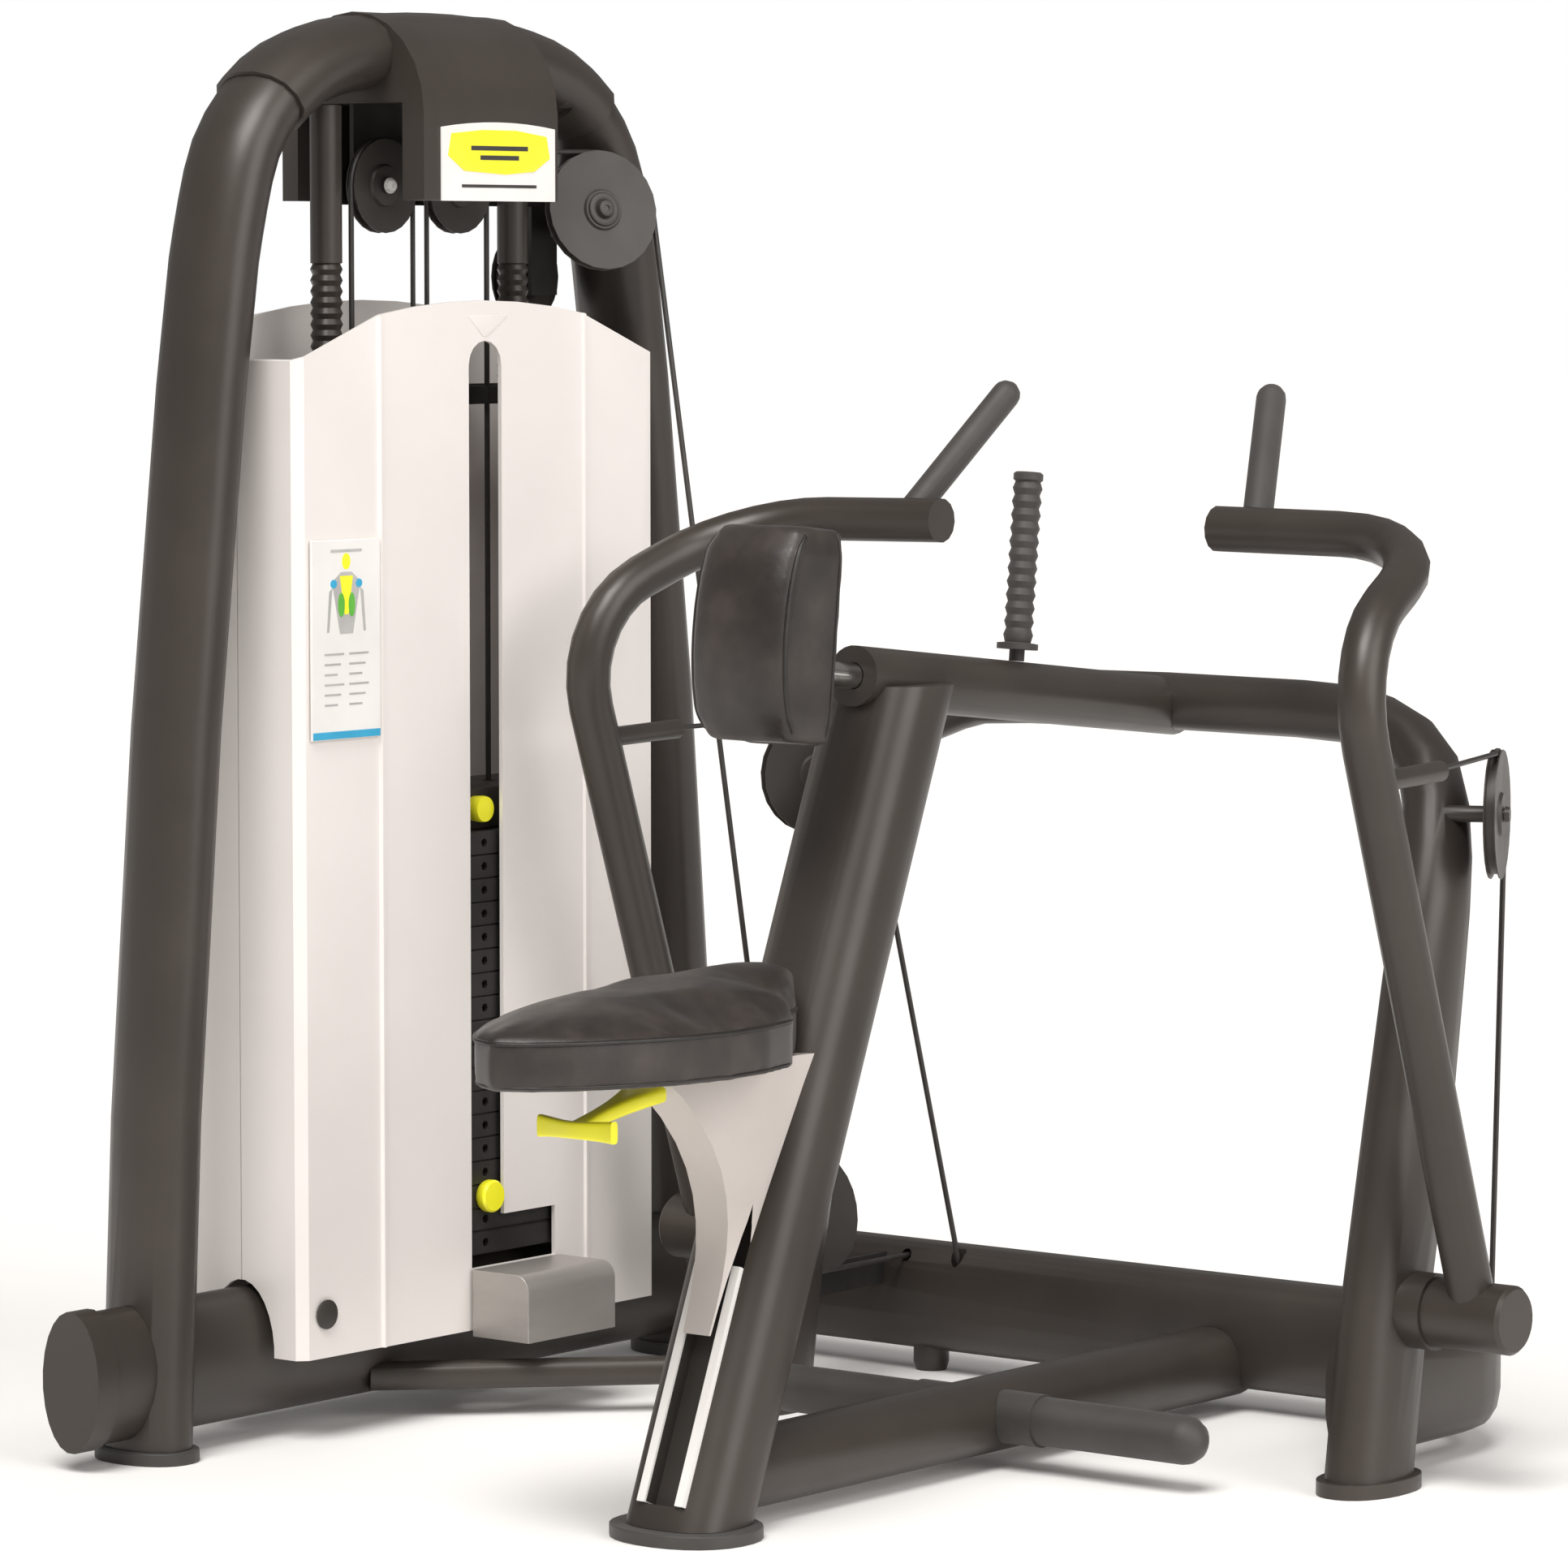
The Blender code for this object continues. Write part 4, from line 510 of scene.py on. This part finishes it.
def chest():
    """Tall bulging cover, filled, with piping round its face and its back."""
    cover = remeshed_copy("chest_pad", "chest_cover")
    middle = pad_point(0, 0, 0)

    def off_face(point):
        away = point - middle
        up = away.dot(PAD_UP)
        return (abs(away.x) > PAD_HALF_WIDTH - 0.008 or abs(up) > PAD_HALF_HEIGHT - 0.008
                or away.dot(PAD_AXIS) > pad_front(up) + FACE_SEAM)

    relax(cover, lambda p: not off_face(p), 5)
    inflate(cover, off_face, 0.006)
    relax(cover, lambda p: not off_face(p), 3)
    wide, tall, steps = PAD_HALF_WIDTH - 0.001, PAD_HALF_HEIGHT - 0.003, 16
    levels = [-tall + 2 * tall * n / steps for n in range(steps + 1)]
    face = [pad_point(wide, pad_front(up) + FACE_SEAM, up) for up in levels]
    face += [pad_point(-wide, pad_front(up) + FACE_SEAM, up) for up in reversed(levels)]
    face = settle(smooth_loop(face), cover)
    back = section(cover, pad_point(0, PAD_BACK_SEAM, 0), PAD_AXIS)
    upholster(cover, "chest_pad", "chest_support")
    tube("chest_piping_face", even(face, 4), SEAM_BEAD, PIPING, "chest_support",
         closed=True)
    tube("chest_piping_back", even(back), BACK_BEAD, PIPING, "chest_support",
         closed=True)


# Fittings ----------------------------------------------------------------------------

def button_head(name, origin, axis, radius, look):
    """Domed screw head with a driver socket, on a washer."""
    r = radius
    profile = [(-0.002, 0), (-0.002, r * 1.25), (0.0006, r * 1.25), (0.0010, r * 1.18),
               (0.0010, r), (0.0030, r * 0.97), (0.0044, r * 0.82), (0.0050, r * 0.55),
               (0.0050, r * 0.42), (0.0032, r * 0.40), (0.0032, 0)]
    return lathe(name, profile, origin, axis, look, "frame", 28)


def pulley_screws():
    """White screws on the ends of three wheels' axles."""
    reach, radius = 0.0125, 0.0066
    for node in ("top_pulley_near", "top_pulley_far", "rear_pulley"):
        button_head(node + "_screw", middle_of(node) + X * reach, X, radius, WHITE)


PRINT = 0.0003            # thickness of a mark on the name plate
PRINT_LAYER = 0.00025     # each layer of print on the exercise card


def badge():
    """Yellow shield and plain bars on the name plate."""
    centre, wide, tall = plate_face("badge_plate")
    shield = [(-0.84, 0.70), (-0.30, 0.80), (0.30, 0.80), (0.84, 0.66), (0.90, 0.10), (0.62, -0.24),
              (0.10, -0.32), (-0.62, -0.24), (-0.90, 0.14)]
    outline, rise = [(u * wide, v * tall) for u, v in shield], 2 * PRINT
    slab("badge_shield", outline, rise, centre, Y, Z, YELLOW, "frame",
         edge=PRINT)
    half = 0.0024
    for index, (length, level) in enumerate(((0.50, 0.34), (0.34, 0.10))):
        bar = rectangle(-length * wide, level * tall - half, length * wide, level * tall + half)
        slab(f"badge_bar_{index}", bar, PRINT, centre + X * rise, Y, Z, INK, "frame")
    rule = rectangle(-0.66 * wide, -0.66 * tall, 0.66 * wide, -0.58 * tall)
    slab("badge_rule", rule, PRINT, centre, Y, Z, INK, "frame")


def joint_named(name):
    """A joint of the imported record."""
    return next(joint for joint in frame["joints"] if joint["name"] == name)


def corner_hub():
    """Raised boss with a sunk middle over the end of the corner wheel's axle."""
    axis = Vector(joint_named("corner_spin")["axis"]).normalized()
    axis = axis if axis.x > 0 else -axis
    centre = middle_of("corner_pulley")
    profile = [(0.004, 0.0195), (0.0072, 0.0190), (0.0092, 0.0178), (0.0098, 0.0160),
               (0.0098, 0.0115), (0.0090, 0.0102), (0.0145, 0.0085), (0.0150, 0.0070),
               (0.0150, 0.0035), (0.0132, 0.0030), (0.0132, 0)]
    lathe("corner_boss", profile, centre, axis, PLASTIC, "corner_wheel")


def end_of(node, axis, far):
    """Middle of a cable node's end face on its far or near side along an axis."""
    places = [v.co for v in frame["nodes"][node].data.vertices]
    limit = (max if far else min)(place[axis] for place in places)
    edge = [place for place in places if abs(place[axis] - limit) < 0.0005]
    return sum(edge, Vector()) / len(edge)


ROPE_RADIUS = 0.0027


def moving_cables():
    """Cable runs that change length: they shorten with the stack or reach after a lever."""
    radius, steps = ROPE_RADIUS, 24
    for node in ("lift_cable_near", "lift_cable_far"):
        low, high = end_of(node, 2, False), end_of(node, 2, True)
        run = tube(node + "_rope", [low, (low + high) / 2, high], radius, CABLE, "frame")
        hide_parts(node)
        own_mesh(run)
    for side in ("left", "right"):
        node = "pull_cable_" + side
        wheel, lever = end_of(node, 1, True), end_of(node, 1, False)
        points = [wheel.lerp(lever, n / steps) for n in range(steps + 1)]
        run = tube(node + "_rope", points, radius, CABLE, None)
        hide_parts(node)
        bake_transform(run)


def chevron():
    """Shallow raised wedge in the housing over the top of the slot."""
    low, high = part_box("front_shroud")
    tip = Vector((high.x - 0.0026, (low.y + high.y) / 2 + 0.002, high.z - 0.038))
    slab("slot_chevron", [(-0.004, 0.0), (0.004, 0.0), (0.036, 0.022), (-0.028, 0.022)], 0.0008,
         tip, Y, Z, SHEET, "frame", edge=0.0006)


def loft(name, rings, look, body, smooth=35.0):
    """Skin over a row of closed rings, capped at both ends."""
    made = bmesh.new()
    rings = [[made.verts.new(point) for point in ring] for ring in rings]
    count = len(rings[0])
    for low, high in zip(rings, rings[1:]):
        for step in range(count):
            following = (step + 1) % count
            made.faces.new((low[step], low[following], high[following], high[step]))
    made.faces.new(rings[0][::-1])
    made.faces.new(rings[-1])
    return keep(name, made, look, body, smooth)


def seat_handle():
    """Bowed bar with flared ends on a neck that widens into the seat's bracket."""
    low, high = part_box("seat_lever")
    middle, half = (low.x + high.x) / 2, (high.x - low.x) / 2 - 0.0005
    front, level, steps = low.y + 0.0105, low.z + 0.0110, 24
    rings = []
    for n in range(steps + 1):
        part = -1 + 2 * n / steps
        bow, tall = 0.0045 * math.cos(part * math.pi), 0.0082 + 0.0026 * part * part
        shape = oval(0.0052, tall, steps=20, power=4.0)
        rings.append([Vector((middle + half * part, front - bow * 0.7 + u, level + v))
                      for u, v in shape])
    bar = loft("seat_handle_bar", rings, YELLOW, "seat_handle")
    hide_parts("seat_lever")
    rings = []
    for n in range(13):
        part = n / 12
        wide = 0.0110 + 0.0150 * part ** 2 - 0.004 * math.sin(part * math.pi)
        rise = level + (high.z - 0.0105 - level) * part
        shape = oval(wide, 0.0060 + 0.0030 * part, steps=20, power=4.0)
        rings.append([Vector((middle + u, front + (high.y - front - 0.001) * part, rise + v))
                      for u, v in shape])
    loft("seat_handle_neck", rings, YELLOW, "seat_handle")


def placard():
    """Generic exercise card: a torso figure in flat colours, plain rules and a foot band."""
    centre, wide, tall = plate_face("placard")

    def print_shape(name, outline, look, layer=1):
        slab(name, outline, PRINT_LAYER * layer, centre, Y, Z, look, "frame")

    torso = [(-0.010, -0.020), (0.010, -0.020), (0.017, 0.012), (0.022, 0.034), (0.008, 0.044),
             (-0.008, 0.044), (-0.022, 0.034), (-0.017, 0.012)]
    lift = 0.026
    print_shape("card_torso", [(u, v + lift) for u, v in torso], GREY)
    print_shape("card_head", oval(0.0065, 0.0085, (0, 0.055 + lift), 20), YELLOW)
    print_shape("card_spine", [(-0.003, 0.000 + lift), (0.003, 0.000 + lift), (0.010, 0.040 + lift),
                               (-0.010, 0.040 + lift)], YELLOW, 2)
    for side in (-1, 1):
        tag = "left" if side < 0 else "right"
        print_shape("card_back_" + tag, oval(0.0050, 0.0125, (side * 0.0080, 0.010 + lift), 20),
                    GREEN, 3)
        print_shape("card_shoulder_" + tag, oval(0.0050, 0.0045, (side * 0.0195, 0.032 + lift), 16),
                    BLUE, 2)
        arm = [(side * 0.0215, 0.028 + lift), (side * 0.0265, 0.024 + lift),
               (side * 0.0300, -0.018 + lift), (side * 0.0265, -0.018 + lift)]
        print_shape("card_arm_" + tag, arm[::side], GREY)
    print_shape("card_title", rectangle(-0.024, 0.0905, 0.024, 0.0935), GREY)
    for row in range(6):
        for column in (-1, 1):
            left, level = column * 0.019 - 0.015, -0.016 - row * 0.0105
            right = left + 0.030 - 0.005 * (row % 3)
            rule = rectangle(left, level, right, level + 0.0022)
            print_shape(f"card_rule_{row}_{column + 1}", rule, GREY)
    inset, top = 0.0008, 0.0085
    band = rectangle(-wide + inset, -tall + inset, wide - inset, -tall + top)
    print_shape("card_band", band, BLUE)


def housing_painted_shade():
    """Dark sheet inside the back of the rear housing: painted shade standing in for the dim,
    shadowed inside of the white housing.
    """
    low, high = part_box("rear_shroud")
    half, tall = (high.y - low.y) / 2 - 0.022, (high.z - low.z) / 2 - 0.040
    centre = Vector((low.x + 0.0062, (low.y + high.y) / 2, (low.z + high.z) / 2 - 0.020))
    # painted shade: a dark sheet set where the housing's inside is only in shadow
    slab("housing_painted_shade", rectangle(-half, -tall, half, tall), 0.0008, centre, Y, Z, PLASTIC,
         "frame")


CHANNEL_FOOT = Vector((0, 0.0024, 0.0064))   # from the rails' lowest corner to their front face


def channel_lining():
    """Dark strips on the floor and walls of the seat's guide channel."""
    lean = Vector((0, POST_LEAN, 1)).normalized()
    low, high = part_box("seat_rails")
    foot = Vector(((low.x + high.x) / 2, low.y, low.z)) + CHANNEL_FOOT
    inward = lean.cross(X)
    half, depth, start, length, lap = 0.0184, 0.0150, 0.002, 0.239, 0.0005
    floor = foot + inward * depth
    slab("channel_floor", rectangle(-half, start, half, length), lap, floor, X, lean, PLASTIC,
         "frame")
    for side in (-1, 1):
        slab("channel_wall_" + ("left" if side < 0 else "right"),
             rectangle(-lap, start, depth, length), 0.0004, foot + X * side * half, inward, lean,
             PLASTIC, "frame")


# Stage -------------------------------------------------------------------------------

ABOVE_FRONT, FROM_RIGHT = (0.30, -0.75, 1.25), (1.0, -0.05, 0.50)     # toward each sun
SURROUNDINGS = 0.24                      # strength of the light from all round
CAMERA_PLACE, CAMERA_HEADING = (4.117, -5.237, 1.224), (-0.619, 0.785, 0)
CAMERA_TILT, FOCAL_LENGTH = 4.477, 151.8             # degrees below level, millimetres


def stage():
    """Plain pale floor."""
    floor, far = bpy.data.meshes.new("floor"), 60.0
    floor.from_pydata([(-far, -far, 0), (far, -far, 0), (far, far, 0), (-far, far, 0)], [],
                      [(0, 1, 2, 3)])
    ground = bpy.data.objects.new("floor", floor)
    bpy.context.scene.collection.objects.link(ground)
    pale = bpy.data.materials.new("pale_floor")
    pale.use_nodes = True
    shader = pale.node_tree.nodes["Principled BSDF"]
    shader.inputs["Base Color"].default_value = (0.93, 0.915, 0.90, 1)
    shader.inputs["Roughness"].default_value = 0.75
    floor.materials.append(pale)


def light(name, energy, direction, spread_angle):
    """Broad warm-white sun that shines from a direction."""
    made = bpy.data.lights.new(name, "SUN")
    made.energy, made.color = energy, (1.0, 0.98, 0.96)
    made.angle = math.radians(spread_angle)
    lamp = bpy.data.objects.new(name, made)
    lamp.rotation_mode = "QUATERNION"
    lamp.rotation_quaternion = (-Vector(direction)).to_track_quat("-Z", "Y")
    bpy.context.scene.collection.objects.link(lamp)


def studio():
    """Bright even surroundings, a broad key light and one from the user's right."""
    world = bpy.data.worlds.new("studio")
    bpy.context.scene.world = world
    world.use_nodes = True
    nodes, links = world.node_tree.nodes, world.node_tree.links
    glow = nodes["Background"]
    glow.inputs["Color"].default_value = (1.0, 0.985, 0.97, 1)
    glow.inputs["Strength"].default_value = SURROUNDINGS
    seen = nodes.new("ShaderNodeBackground")
    seen.inputs["Color"].default_value = (1, 1, 1, 1)
    either, path = nodes.new("ShaderNodeMixShader"), nodes.new("ShaderNodeLightPath")
    links.new(path.outputs["Is Camera Ray"], either.inputs["Fac"])
    links.new(glow.outputs["Background"], either.inputs[1])
    links.new(seen.outputs["Background"], either.inputs[2])
    links.new(either.outputs["Shader"], nodes["World Output"].inputs["Surface"])
    light("key", 3.0, ABOVE_FRONT, 32)
    light("side", 1.7, FROM_RIGHT, 45)
    bpy.context.scene.view_settings.view_transform = "Standard"


def camera():
    """Camera at the user's front right, a little above the seat."""
    made = bpy.data.cameras.new("camera")
    made.lens, made.sensor_width, made.clip_end = FOCAL_LENGTH, 36.0, 200.0
    holder = bpy.data.objects.new("camera", made)
    holder.location = CAMERA_PLACE
    ahead, pitch = Vector(CAMERA_HEADING).normalized(), math.radians(CAMERA_TILT)
    aim = ahead * math.cos(pitch) - Z * math.sin(pitch)
    holder.rotation_mode = "QUATERNION"
    holder.rotation_quaternion = aim.to_track_quat("-Z", "Y")
    bpy.context.scene.collection.objects.link(holder)
    bpy.context.scene.camera = holder


finish_cad_nodes()
seat()
chest()
pulley_screws()
badge()
corner_hub()
moving_cables()
chevron()
seat_handle()
placard()
housing_painted_shade()
channel_lining()
stage()
studio()
camera()
